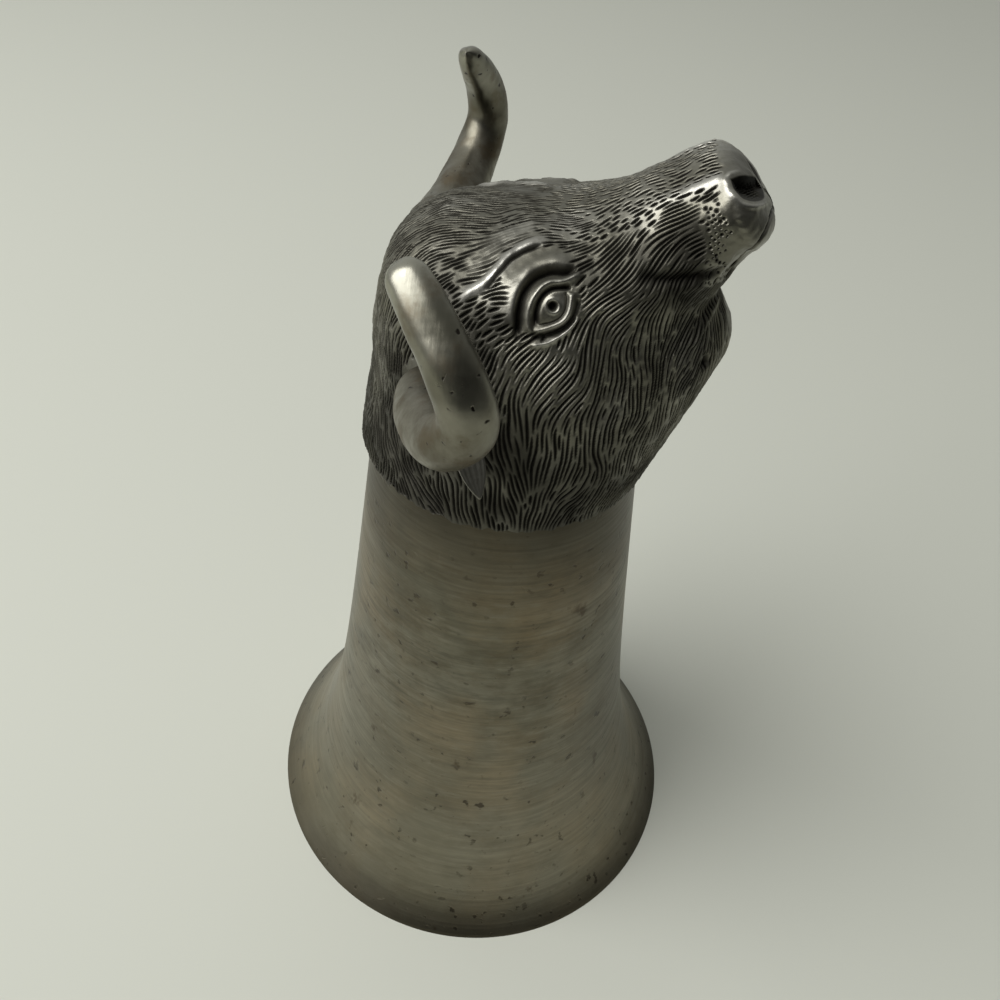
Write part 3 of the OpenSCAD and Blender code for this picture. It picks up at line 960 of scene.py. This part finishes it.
# %% Carve nose and lips
nose_ahead = unit([0.83, 0.0, 0.56])
pad_edge = 75.1, 75.7
jaw_pit, chin_place, chin_reach = (19.2, 6.1, 91.7), (21.8, 0.0, 93.8), (2.2, 2.6, 3.0)
lip_lines = {
    "mouth": (0.20, -0.35, (1.0, 0.0, 0.8), [
        (22.9, 0.0, 105.9), (22.02, 2.97, 106.6), (21.32, 4.86, 106.3), (20.75, 5.8, 105.4),
        (20.3, 5.6, 104.2), (19.97, 4.6, 102.9), (19.1, 4.7, 101.3)]),
    "lip crease": (0.75, -0.55, (0.85, 0.0, 0.0), [
        (18.5, 6.6, 102.1), (15.9, 7.9, 102.4), (13.6, 8.5, 102.2), (11.7, 8.75, 102.3), (10.0, 8.7, 102.6)]),
    "lip": (0.8, 0.14, (0.0, 0.0, 0.0), [
        (18.9, 6.6, 103.3), (16.2, 7.8, 103.6), (13.7, 8.5, 103.5), (11.9, 8.7, 103.5)]),
    "nose ridge": (0.85, 0.34, (0.0, 1.0, 1.0), [
        (9.0, 3.4, 105.6), (12.0, 3.5, 107.1), (14.3, 3.55, 108.5), (16.0, 3.6, 109.5), (17.0, 3.7, 109.8)]),
    "jaw fold": (0.6, 0.35, (0.0, 0.0, 0.0), [
        (19.4, 2.6, 97.3), (18.2, 5.2, 96.1), (17.0, 7.3, 93.9)]),
}


def carve_muzzle(p):
    _, height, (dark, shine, smooth) = carve_lines(p, lip_lines, 0.05, 0.2)
    nostril_height, nostril_dark, rim, inside, hole = nostril_shape(p)
    pit = np.exp(-(np.linalg.norm(p - jaw_pit, axis=1) / 0.7) ** 4)
    chin = np.exp(-(np.linalg.norm((p - chin_place) / chin_reach, axis=1)) ** 4)
    edge = p @ nose_ahead + 0.12 * np.sin(5.0 * p[:, 1]) + 0.08 * np.sin(9.0 * p[:, 2])
    pad = ease(edge, *pad_edge)
    height += nostril_height + 0.10 * pad - 0.7 * pit
    dark = np.maximum.reduce([dark, nostril_dark, 0.9 * pit])
    shine = np.maximum.reduce([shine, 0.7 * rim, 0.3 * chin, 0.22 * pad])
    smooth = np.maximum.reduce([smooth, 0.9 * rim, inside, pad])
    return height, dark, shine, smooth, 1.15 * chin, nostril_depth * hole[:, None] * nostril_way


carve_both_sides(carve_muzzle, lambda p: (p[..., 1] >= 0.0) & (p[..., 0] > 6.0))
print("nostrils reach", round(float(np.linalg.norm(pushed, axis=-1).max()), 1), "mm into the nose")

# %% [markdown]
# ## The comb
# The fur lies from the nose back over the forehead and down to the collar. The skin's own columns
# run that way, so a hair starts along its column and is then turned by a comb: a short list of
# places with the turn the hair takes there, as one would note while looking at the casting. Slow
# waves with a fixed seed make it wander as a hand does.

# %% Lie of the fur
comb = [(0.54, 292, 26), (0.37, 284, 17), (0.26, 278, 15), (0.31, 302, 14), (0.53, 320, -20), (0.81, 240, 21),
        (0.73, 236, 25), (0.61, 262, 50), (0.44, 267, -25), (0.46, 245, -20), (0.53, 196, 8), (0.10, 236, 40),
        (0.12, 266, 28), (0.12, 294, 0), (0.2, 204, 5), (0.93, 194, 0), (0.76, 184, 0), (0.35, 206, 0),
        (0.15, 330, 0), (0.35, 340, 0)]
comb_reach, comb_slack = 4.5, 0.12
dice = np.random.default_rng(11)


def wander(p, wave, terms=10):
    ways = unit(dice.normal(size=(terms, 3))) * (2 * math.pi / wave)
    start = dice.uniform(0, 2 * math.pi, terms)
    return sum(np.sin(p @ w + s) for w, s in zip(ways, start)) / math.sqrt(terms / 2)


def comb_turn(p):
    weight = np.full(p.shape[:2], comb_slack)
    turned = np.zeros(p.shape[:2])
    for t, degrees, angle in comb:
        for a, sign in ((degrees, 1.0), (360.0 - degrees, -1.0)):
            w = np.exp(-(np.linalg.norm(p - head_base(t, float(a)), axis=-1) / comb_reach) ** 2)
            weight += w
            turned += w * sign * angle
    return np.radians(turned / weight)


lie_turn = comb_turn(skin) + 0.17 * wander(skin, 8.0) + 0.10 * wander(skin, 3.4)
print("fur turns by up to", round(float(np.degrees(np.abs(lie_turn).max()))), "degrees")

# %% [markdown]
# ## Steps on the grid
# A stroke is walked on the grid of rows and columns, but its lie is a direction in space. Two
# arrays say how many rows and columns make one millimetre along the lie, and two more across it.

# %% Walk along the lie
down = -np.gradient(skin, axis=0)
round_way = (np.roll(skin, -1, 1) - np.roll(skin, 1, 1)) / 2
uu, uv, vv = (down * down).sum(-1), (down * round_way).sum(-1), (round_way * round_way).sum(-1)


def grid_steps(way):
    du, dv = (way * down).sum(-1), (way * round_way).sum(-1)
    return -(du * vv - dv * uv) / (uu * vv - uv * uv), (dv * uu - du * uv) / (uu * vv - uv * uv)


lie = unit(down)
lie = lie * np.cos(lie_turn)[..., None] + np.cross(normals, lie) * np.sin(lie_turn)[..., None]
step_row, step_column = grid_steps(lie)
side_row, side_column = grid_steps(np.cross(normals, lie))
print("a millimetre is up to", round(float(np.abs(step_row).max()), 1), "rows")

# %% [markdown]
# ## Zones of the fur
# Cheeks and neck have long strokes, the forehead shorter and finer ones, the bridge of the nose
# and the temple dashes, and the lips only dots. Each zone is a soft map over the skin, drawn by the
# place along the head and round it. Its border wanders, because no engraver keeps a straight one.

# %% Maps of the zones
around = np.abs((column_turn + 180.0) % 360.0 - 180.0)[None] + 0 * row_t[:, None]
t_map = row_t[:, None] + 0 * around
on_bridge = ease(t_map + 0.035 * wander(skin, 3.0), 0.64, 0.74)
on_bridge = on_bridge * ease(around + 3.0 * wander(skin, 2.6), 138, 148)
on_top = on_bridge * ease(around, 158, 170)
lips_map = skin @ nose_ahead - 0.33 * (skin[..., 2] - 106.0) + 0.3 * wander(skin, 2.2)
on_lips = ease(lips_map, 71.9, 72.4) * ease(-around, -142, -132)
on_lips = on_lips * ease(skin[..., 2] + 0.5 * wander(skin, 2.4), 100.6, 101.4)
on_temple = ease(t_map, 0.34, 0.40) * ease(-t_map, -0.52, -0.47)
on_temple = on_temple * ease(around, 108, 116) * ease(-around, -146, -138)
on_forehead = ease(around, 128, 150) * ease(t_map, 0.36, 0.46) * (1 - on_bridge)
on_muzzle = ease(t_map, 0.58, 0.66) * (1 - on_bridge)
zone = 1 * (on_lips > 0.5) + 2 * (on_bridge > 0.5) + 4 * (on_temple > 0.5)
horn_gap = np.linalg.norm(skin * (1, 0, 1) + np.abs(skin * (0, 1, 0)) - horn_root, axis=-1)
bare = np.maximum(bare, ease(-horn_gap, -3.7, -3.2))
print("dashes on", round(float((on_bridge > 0.5).mean() * 100)), "percent of the skin")

# %% [markdown]
# ## Kinds of stroke
# In each zone a stroke has its own length, distance to the next one, depth and width, all in
# millimetres. A length of nothing gives a dot. Soft maps make one kind pass into the next.

# %% Length, spacing, depth and width of the strokes
stroke_length = 8.5 - 7.6 * on_bridge + 0.7 * on_top - 3.6 * on_forehead
stroke_length = stroke_length * (1 - on_lips)
stroke_length = stroke_length * (1 - on_temple) + 1.5 * on_temple
stroke_gap = 0.45 - 0.07 * on_forehead + 0.02 * on_bridge + 0.07 * on_top - 0.06 * on_muzzle * (1 - on_lips)
stroke_depth = (0.25 + 0.02 * on_temple - 0.09 * on_forehead - 0.06 * on_lips - 0.06 * on_bridge
                + 0.03 * on_top - 0.03 * on_muzzle)
stroke_depth = stroke_depth * (1 - 0.75 * faint)
stroke_width = (0.26 - 0.02 * on_temple - 0.03 * on_forehead - 0.02 * on_bridge + 0.04 * on_top
                + 0.015 * on_lips - 0.055 * on_muzzle * (1 - on_lips))
longest = round(float(stroke_length.max()), 2)
print("stroke length from", round(float(stroke_length.min()), 2), "to", longest, "mm")

# %% [markdown]
# ## Engraved hairs
# An engraver fills the skin with strokes that keep an even distance, and no stroke crosses another.
# Scattered strokes would clump. So a stroke starts beside one that is there already, grows both
# ways along the lie of the fur, and stops at its length, at the border of its zone, or where it
# comes too near to another. New places beside it then wait for their turn.

# %% Grow one stroke
stroke_step, cell, abreast = 0.12, 0.6, 0.34
start_room, grow_room, shortest = 0.78, 0.62, 0.6
last_row = rows - 7
taken = {}


def crowded(p, way, gap):
    px, py, pz = p
    wx, wy, wz = way
    cx, cy, cz = int(px // cell), int(py // cell), int(pz // cell)
    limit = gap * gap
    for ix in (cx - 1, cx, cx + 1):
        for iy in (cy - 1, cy, cy + 1):
            for iz in (cz - 1, cz, cz + 1):
                for qx, qy, qz in taken.get((ix, iy, iz), ()):
                    dx, dy, dz = qx - px, qy - py, qz - pz
                    ahead = dx * wx + dy * wy + dz * wz
                    if -abreast < ahead < abreast and dx * dx + dy * dy + dz * dz - ahead * ahead < limit:
                        return True
    return False


def spot(i, j):
    a, b = int(i + 0.5), int(j + 0.5) % columns
    return a, b, skin[a, b].tolist(), lie[a, b].tolist()


def grow_half(i, j, sign, length, gap, start_zone):
    path, run = [], 0.0
    while run < length:
        a, b = int(i + 0.5), int(j + 0.5) % columns
        i += sign * stroke_step * step_row[a, b]
        j += sign * stroke_step * step_column[a, b]
        if i < 0 or i > last_row:
            break
        a, b, p, way = spot(i, j)
        if bare[a, b] > 0.5 or zone[a, b] != start_zone or crowded(p, way, gap * grow_room):
            break
        path.append((i, j))
        run += stroke_step
    return path


def grow_stroke(row, column):
    a, b, p, way = spot(row, column)
    gap = float(stroke_gap[a, b])
    if crowded(p, way, gap * start_room):
        return None
    half = 0.5 * float(stroke_length[a, b]) * dice.uniform(0.45, 1.3)
    ahead, behind = (grow_half(row, column, sign, half, gap, zone[a, b]) for sign in (1.0, -1.0))
    path = behind[::-1] + [(row, column)] + ahead
    return path if len(path) * stroke_step > min(0.5 * half, shortest) else None


# %% [markdown]
# ## Filling the skin
# Seeds fall evenly over the skin's area. From each, strokes spread sideways until no place is left,
# so most of the fur grows from the first few seeds and the others fill what these did not reach.
# Dashes are shifted along their lie like bricks, and towards the nose the lips' dots grow rarer.

# %% Grow all strokes
side_step, every, seed_count = 1.02, 4, 9000
strokes, waiting = [], []


def keep_stroke(path):
    strokes.append(path)
    for i, j in path:
        p = spot(i, j)[2]
        taken.setdefault((int(p[0] // cell), int(p[1] // cell), int(p[2] // cell)), []).append(p)
    tries = 3 if len(path) < 3 else 1
    for i, j in path[::every] * tries:
        a, b = int(i + 0.5), int(j + 0.5) % columns
        for sign in (1.0, -1.0):
            step = sign * side_step * float(stroke_gap[a, b])
            brick = min(max(float(stroke_length[a, b]), 1.0), 1.6) * (zone[a, b] > 0)
            shift = dice.uniform(-0.5, 0.5) * brick
            waiting.append((i + step * side_row[a, b] + shift * step_row[a, b],
                            j + step * side_column[a, b] + shift * step_column[a, b]))


def try_stroke(row, column):
    if not 0 <= row < last_row:
        return
    a, b = int(row + 0.5), int(column + 0.5) % columns
    if bare[a, b] > 0.5:
        return
    if on_lips[a, b] > 0.5 and dice.uniform() < 1.1 * ease(lips_map[a, b], 72.7, 74.8):
        return
    path = grow_stroke(row, column)
    if path:
        keep_stroke(path)


area = np.linalg.norm(np.cross(down, round_way), axis=-1)
area[last_row - 1:] = 0.0
for seed in dice.choice(rows * columns, size=seed_count, p=(area / area.sum()).ravel()):
    waiting.append((float(seed // columns), float(seed % columns)))
    while waiting:
        try_stroke(*waiting.pop(int(dice.integers(len(waiting)))))
print(len(strokes), "strokes,", round(sum(map(len, strokes)) * stroke_step), "mm of engraving")

# %% [markdown]
# ## Points of the strokes
# Every stroke becomes a row of points in space, each with its depth and width. A hand presses
# harder on some strokes than on others and lifts the tool at both ends, so both thin out there.

# %% Depth and width at each point


def between(p, i, j):
    a = np.clip(np.floor(i).astype(int), 0, rows - 2)
    b = np.floor(j).astype(int)
    s, u = (i - a)[:, None], (j - b)[:, None]
    low = p[a, b % columns] * (1 - u) + p[a, (b + 1) % columns] * u
    high = p[a + 1, b % columns] * (1 - u) + p[a + 1, (b + 1) % columns] * u
    return low * (1 - s) + high * s


lengths = [len(path) for path in strokes]
all_i, all_j = np.array([place for path in strokes for place in path]).T
share = np.concatenate([(np.arange(n) + 0.5) / n for n in lengths])
vigour = np.repeat(dice.uniform(0.75, 1.2, len(strokes)), lengths)
lone = np.repeat([n < 3 for n in lengths], lengths)
ends = np.sqrt(np.sin(math.pi * share))
near_i = np.clip((all_i + 0.5).astype(int), 0, rows - 1)
near_j = (all_j + 0.5).astype(int) % columns
cut_depth = stroke_depth[near_i, near_j] * vigour * ends
pressed = np.where(lone, 1.7 * vigour - 0.87, 0.55 + 0.45 * vigour)
cut_width = stroke_width[near_i, near_j] * (0.55 + 0.45 * ends) * pressed
cut_place = between(skin, all_i, all_j)
print(len(cut_place), "points of", len(strokes), "strokes")

# %% [markdown]
# ## Cutting the strokes
# Each point of the skin looks for the nearest point of a stroke. Near it the skin sinks in a
# rounded groove, and the same depth is kept as grime. On the bridge and the forehead the black
# soaks wider, because the cuts there are shallow and still read as dark.

# %% Cut the strokes
finder = kdtree.KDTree(len(cut_place))
for k, p in enumerate(cut_place):
    finder.insert(p, k)
finder.balance()
found = [finder.find(p)[1:] for p in skin.reshape(-1, 3)]
nearest = np.array([k for k, _ in found])
distance = np.array([d for _, d in found])
across = np.clip(distance / cut_width[nearest], 0, 1)
cut = (0.5 + 0.5 * np.cos(math.pi * across)).reshape(rows, columns)
depth = cut_depth[nearest].reshape(rows, columns)
soak = np.maximum(on_bridge, on_forehead)
fur_grime = ease(cut, 0.20 - 0.12 * soak, 0.66 - 0.22 * soak)
fur_grime = fur_grime * np.clip(depth / (0.15 - 0.05 * soak), 0, 1)
lift -= cut * depth
grime_and_shade = np.maximum(grime_and_shade, 0.95 * fur_grime)
print("grooves cover", round(float((cut > 0.3).mean() * 100)), "percent of the skin")

# %% [markdown]
# ## Final skin
# All depths are put together, with the fine roughness of a casting and a slightly ragged lower
# edge, where the head was filed to fit the cup.

# %% Final skin
edge_rows = 6
rough_cast = 0.012 * wander(skin, 0.9) + 0.02 * wander(skin, 2.2)
carved = skin + normals * (lift + rough_cast)[..., None] + pushed
ragged = 0.14 * wander(skin[:1], 1.5)[0] + 0.08 * wander(skin[:1], 0.7)[0]
carved[:edge_rows, :, 2] += ragged[None] * np.linspace(1, 0, edge_rows)[:, None]
carved_normals = skin_normals(carved) * outward
print("carved skin stands from", round(float(lift.min()), 2), "to", round(float(lift.max()), 2), "mm")

# %% [markdown]
# ## Wear, darkening and painted shade
# High places are rubbed bright. The skin is darker towards the collar, on the nape, the forehead,
# the bridge, the temples and cheeks, on the sides of the muzzle and behind the lips. Round and
# under the horns the darkening is painted shade. Both are amounts on the points, so they are added
# up from the same maps as the fur.

# %% Wear, darkening and painted shade
under_horn = np.linalg.norm(np.abs(skin) * (0, 1, 0) + skin * (1, 0, 1) - head_base(0.24, 101.0), axis=-1)
darkening = [
    (0.48, ease(-t_map, -0.36, -0.12)),                                                # collar
    (0.25, ease(around, 118, 130) * ease(-t_map, -0.45, -0.3)),                        # nape
    (0.28, on_forehead), (0.10, on_bridge), (0.65, on_temple),
    # Painted shade: darker round and under the horns, where the horns shade the skin.
    (0.35, ease(-horn_gap, -9.0, -3.8)), (0.45, ease(-under_horn, -5.5, -2.0)),        # horns
    (0.12, ease(-t_map, -0.62, -0.45) * ease(-around, -128, -118)),                    # cheeks
    (0.45, on_muzzle * (1 - on_lips) * ease(-around, -138, -128)),                     # muzzle
    (0.25, ease(-np.abs(lips_map - 71.2), -2.2, -0.8) * ease(-around, -135, -122)),    # behind the lips
]
most_darkening = 0.75
rubbed = np.maximum(0.06 * on_bridge, 0.5 * ease(np.clip(lift, -0.2, 0.9), 0.25, 0.8))
wear = np.clip(np.maximum(wear, rubbed) + 0.10 * wander(skin, 6.0), 0, 1) * (1 - grime_and_shade)
darkened = sum(amount * where for amount, where in darkening) + 0.08 * wander(skin, 5.0)
grime_and_shade = np.clip(1 - (1 - grime_and_shade) * (1 - np.clip(darkened, 0, most_darkening)), 0, 1)
print("grime_and_shade", round(float(grime_and_shade.mean()), 2), "and wear", round(float(wear.mean()), 2), "on average")

# %% [markdown]
# ## Head in nine parts
# So fine a skin is too much for one mesh, so the head is built as nine parts that meet without a
# step, like the staves of a barrel. Each is a closed shell: the fine skin, a plain inner wall with
# few columns, and strips that join their edges. All nine have the same faces.

# %% Faces of a part
part = columns // part_count
inner_steps = 4


def zip_rows(first, second):
    faces, i, j = [], 0, 0
    while i < len(first) - 1 or j < len(second) - 1:
        if j == len(second) - 1 or (i < len(first) - 1 and i * (len(second) - 1) <= j * (len(first) - 1)):
            faces.append((first[i], first[i + 1], second[j]))
            i += 1
        else:
            faces.append((first[i], second[j + 1], second[j]))
            j += 1
    return faces


def quads(index):
    a, b = index[:-1, :-1].ravel(), index[:-1, 1:].ravel()
    c, d = index[1:, 1:].ravel(), index[1:, :-1].ravel()
    return list(zip(a.tolist(), b.tolist(), c.tolist(), d.tolist()))


def shell_faces(n, m):
    outer = np.arange(rows * n).reshape(rows, n)
    inner = np.arange(rows * m).reshape(rows, m) + rows * n
    tip, inner_tip = rows * (n + m), rows * (n + m) + 1
    faces = quads(outer) + quads(inner[:, ::-1])
    faces += quads(np.column_stack([inner[:, 0], outer[:, 0]]))
    faces += quads(np.column_stack([outer[:, -1], inner[:, -1]]))
    faces += [f[::-1] for f in zip_rows(outer[0].tolist(), inner[0].tolist())]
    last, inner_last = outer[-1].tolist(), inner[-1].tolist()
    faces += [(a, b, tip) for a, b in zip(last[:-1], last[1:])]
    faces += [(b, a, inner_tip) for a, b in zip(inner_last[:-1], inner_last[1:])]
    return faces + [(last[-1], inner_last[-1], inner_tip, tip), (inner_last[0], last[0], tip, inner_tip)]


part_faces = shell_faces(part + 1, inner_steps + 1)
print(len(part_faces), "faces in each part")

# %% [markdown]
# ## Dressing the parts
# A part takes its columns of the skin with their grime and wear. The inner wall is the plain skin
# drawn towards the middle, most of all at the nose, where the nostrils need room. The normals come
# from the whole skin, so no seam shows between two parts.

# %% Parts of the head
part_names = ("head_throat", "head_left_chin", "head_left_jaw", "head_left_temple", "head_left_crown",
              "head_right_crown", "head_right_temple", "head_right_jaw", "head_right_chin")
nose_inside = head_middle(np.array([1.0]))
middle_line = np.concatenate([head_middle(row_place), np.repeat(nose_inside, rows_nose, 0)])[:, None]
inner_share = (0.80 + 0.10 * ease(-row_t, -0.25, -0.10) - 0.40 * ease(row_t, 0.72, 0.86))[:, None, None]
carved_tip = carved[-1].mean(0) + (nose_tip - skin[-1].mean(0))
inner_tip = nose_inside[0] + (nose_tip - nose_inside[0]) * 0.4


def new_piece(name, points, faces, material):
    mesh = bpy.data.meshes.new(name)
    mesh.from_pydata((np.asarray(points) * MM).tolist(), [], faces)
    mesh.materials.append(material)
    return put_in_scene(name, mesh)


def keep_marks(mesh, label, marks):
    mesh.attributes.new(label, "FLOAT", "POINT").data.foreach_set("value", marks)


def part_shell(name, first):
    pick = np.arange(first, first + part + 1) % columns
    outer = carved[:, pick].reshape(-1, 3)
    inner = middle_line + (skin[:, pick[::part // inner_steps]] - middle_line) * inner_share
    points = np.concatenate([outer, inner.reshape(-1, 3), [carved_tip, inner_tip]])
    piece = new_piece(name, points, part_faces, cast_pewter)
    if volume(piece.data) < 0:
        piece.data.flip_normals()
    for label, values in (("grime_and_shade", grime_and_shade), ("wear", wear)):
        marks = np.zeros(len(points), np.float32)
        marks[:len(outer)] = values[:, pick].ravel()
        marks[-2] = values[-1].mean()
        keep_marks(piece.data, label, marks)
    piece.data.shade_smooth()
    way = np.zeros((len(points), 3))
    way[:len(outer)] = carved_normals[:, pick].reshape(-1, 3)
    piece.data.normals_split_custom_set_from_vertices(way.tolist())
    return piece


for k, name in enumerate(part_names):
    settle(part_shell(name, k * part), "head_casting")

# %% [markdown]
# ## Ears
# The ears are small pointed leaves below the horns, hollowed in front and with a rolled edge. Each
# leaf stands on a peg that goes into the head, and grows on behind it to the skin. It is made of
# rings round a flat leaf, which gives the rolled edge and the hollow in one formula.

# %% Rings of an ear
ear_root = head_base(0.235, 109.0)
ear_peg = unit([-0.32, 0.95, 0])
ear_leaf = unit([0.36, 0.68, -0.64])
ear_len, ear_w, ear_t, ear_stand, ear_peg_r, ear_back = 6.8, 1.45, 1.2, 2.0, 1.1, 2.6
ear_rings, ear_sides, peg_steps = 60, 48, 12
leaf_share = np.linspace(0, 1, ear_rings)[:, None]
leaf_turn = 2 * math.pi * np.arange(ear_sides)[None] / ear_sides


def stand_axes(way):
    lean = math.acos(way[2])
    turn = math.atan2(way[1], way[0])
    x = np.array([math.cos(lean) * math.cos(turn), math.cos(lean) * math.sin(turn), -math.sin(lean)])
    return x, np.array([-math.sin(turn), math.cos(turn), 0.0])


def leaf_rings(foot):
    x, y = stand_axes(ear_leaf)
    s, a = leaf_share, leaf_turn
    w = ear_w * np.sin(np.radians(20 + 157 * s)) ** 0.8
    thick = 0.5 * ear_t * (1 - 0.6 * s) * np.sin(a)
    hollow = np.where(np.sin(a) > 0, 0.45 * np.sin(math.pi * np.clip(s * 1.1, 0, 1)) * np.sin(a) ** 2, 0.0)
    across = thick - hollow - 0.28 * w * np.cos(a) ** 2
    out = (s * ear_len + 0 * a)[..., None] * ear_leaf
    return foot + across[..., None] * x - (w * np.cos(a))[..., None] * y + out


def peg_rings():
    x, y = stand_axes(ear_peg)
    a = leaf_turn[0][:, None]
    ring = (x * np.cos(a) + y * np.sin(a)) * ear_peg_r
    steps = np.linspace(-spigot_depth, ear_stand + 0.2, peg_steps)
    return ear_root + ear_peg * steps[:, None, None] + ring[None]


# %% [markdown]
# ## Closing the ears
# Rings are joined into a skin and closed at both ends, the leaf in a point and the peg flat. The
# hollow and fine lines along the leaf hold grime.

# %% Ears


def ring_index(rings, base):
    index = np.arange(rings.shape[0] * rings.shape[1]).reshape(rings.shape[:2]) + base
    return index, quads(np.concatenate([index, index[:, :1]], 1)) + [tuple(index[0].tolist())]


def ear_shell(name, side):
    foot = ear_root + ear_peg * ear_stand - ear_leaf * ear_back
    leaf, peg = leaf_rings(foot), peg_rings()
    point = ear_rings * ear_sides
    leaf_index, faces = ring_index(leaf, 0)
    last = leaf_index[-1].tolist()
    faces += [(a, b, point) for a, b in zip(last, last[1:] + last[:1])]
    peg_index, peg_faces = ring_index(peg, point + 1)
    faces += peg_faces + [tuple(peg_index[-1][::-1].tolist())]
    tip = foot + ear_leaf * ear_len * 1.02
    points = np.concatenate([leaf.reshape(-1, 3), [tip], peg.reshape(-1, 3)]) * (1, side, 1)
    piece = new_piece(name, points, faces, cast_pewter)
    marks = np.full(len(points), 0.75, np.float32)
    along = np.sin(math.pi * leaf_share)
    inner = (np.sin(leaf_turn) > 0.2) * (along > 0.3)
    lines = np.sin(14.0 * leaf_turn + 3.0 * leaf_share) * along
    marks[:point] = (0.3 + 0.4 * inner + 0.2 * lines).ravel()
    keep_marks(piece.data, "grime_and_shade", marks)
    keep_marks(piece.data, "wear", 0.35 * (1 - marks))
    piece.data.shade_smooth()
    return piece


for name, side in (("left_ear", 1.0), ("right_ear", -1.0)):
    settle(ear_shell(name + "_leaf", side), name)

# %% [markdown]
# ## Floor
# The cup stands on a plain pale sheet, wide enough to fill the picture. Its own colour makes the
# background pale, so the light can stay at a plain level.

# %% Floor
floor_half, floor_colour = 2000.0, (0.60, 0.609, 0.535, 1.0)
floor_material = bpy.data.materials.new("pale_sheet")
floor_material.use_nodes = True
floor_shader = floor_material.node_tree.nodes["Principled BSDF"]
floor_shader.inputs["Base Color"].default_value = floor_colour
floor_shader.inputs["Roughness"].default_value = 0.8
floor_corners = [(x * floor_half, y * floor_half, 0) for x, y in ((-1, -1), (1, -1), (1, 1), (-1, 1))]
floor = new_piece("floor", floor_corners, [(0, 1, 2, 3)], floor_material)
print("floor", 2 * floor_half * MM, "m wide")

# %% [markdown]
# ## Light of the room
# Dull metal mostly shows the room around it. A plain grey room makes it look flat, so this one is
# brighter towards the back left and darker to the front right.

# %% Room
room_bright, room_strength = unit([-0.55, 0.70, 0.45]), 0.62
world = bpy.data.worlds.new("room")
scene.world = world
world.use_nodes = True
room = world.node_tree
look = room.nodes.new("ShaderNodeTexCoord").outputs["Generated"]
towards = add(room, "ShaderNodeVectorMath", i0=look, i1=tuple(room_bright))
towards.operation = "DOT_PRODUCT"
bright = spread(room, towards.outputs["Value"], -0.45, 1.0, 0.06, 1.0)
room_colour = mix_colours(room, bright, (0.0, 0.0, 0.0), (0.98, 1.0, 0.97))
room.links.new(room_colour, room.nodes["Background"].inputs["Color"])
room.nodes["Background"].inputs["Strength"].default_value = room_strength

print("room strength", room_strength)

# %% [markdown]
# ## Windows
# Two soft windows light the cup from the left, a broad one to the side and a smaller one high up,
# so the shadow falls to the right and the horn and the brow catch a highlight.

# %% Windows


def soft_light(name, place, aim, size, watts):
    data = bpy.data.lights.new(name, "AREA")
    data.shape = "DISK"
    data.size = size
    data.energy = watts
    lamp = put_in_scene(name, data)
    lamp.location = place
    lamp.rotation_euler = (Vector(aim) - Vector(place)).to_track_quat("-Z", "Y").to_euler()


soft_light("window", (-0.58, -0.13, 0.56), (0, 0, 0.06), 0.75, 4.4)
soft_light("high_window", (-0.20, -0.08, 0.66), (0, 0, 0.09), 0.42, 1.3)
print("light: two windows and the room")
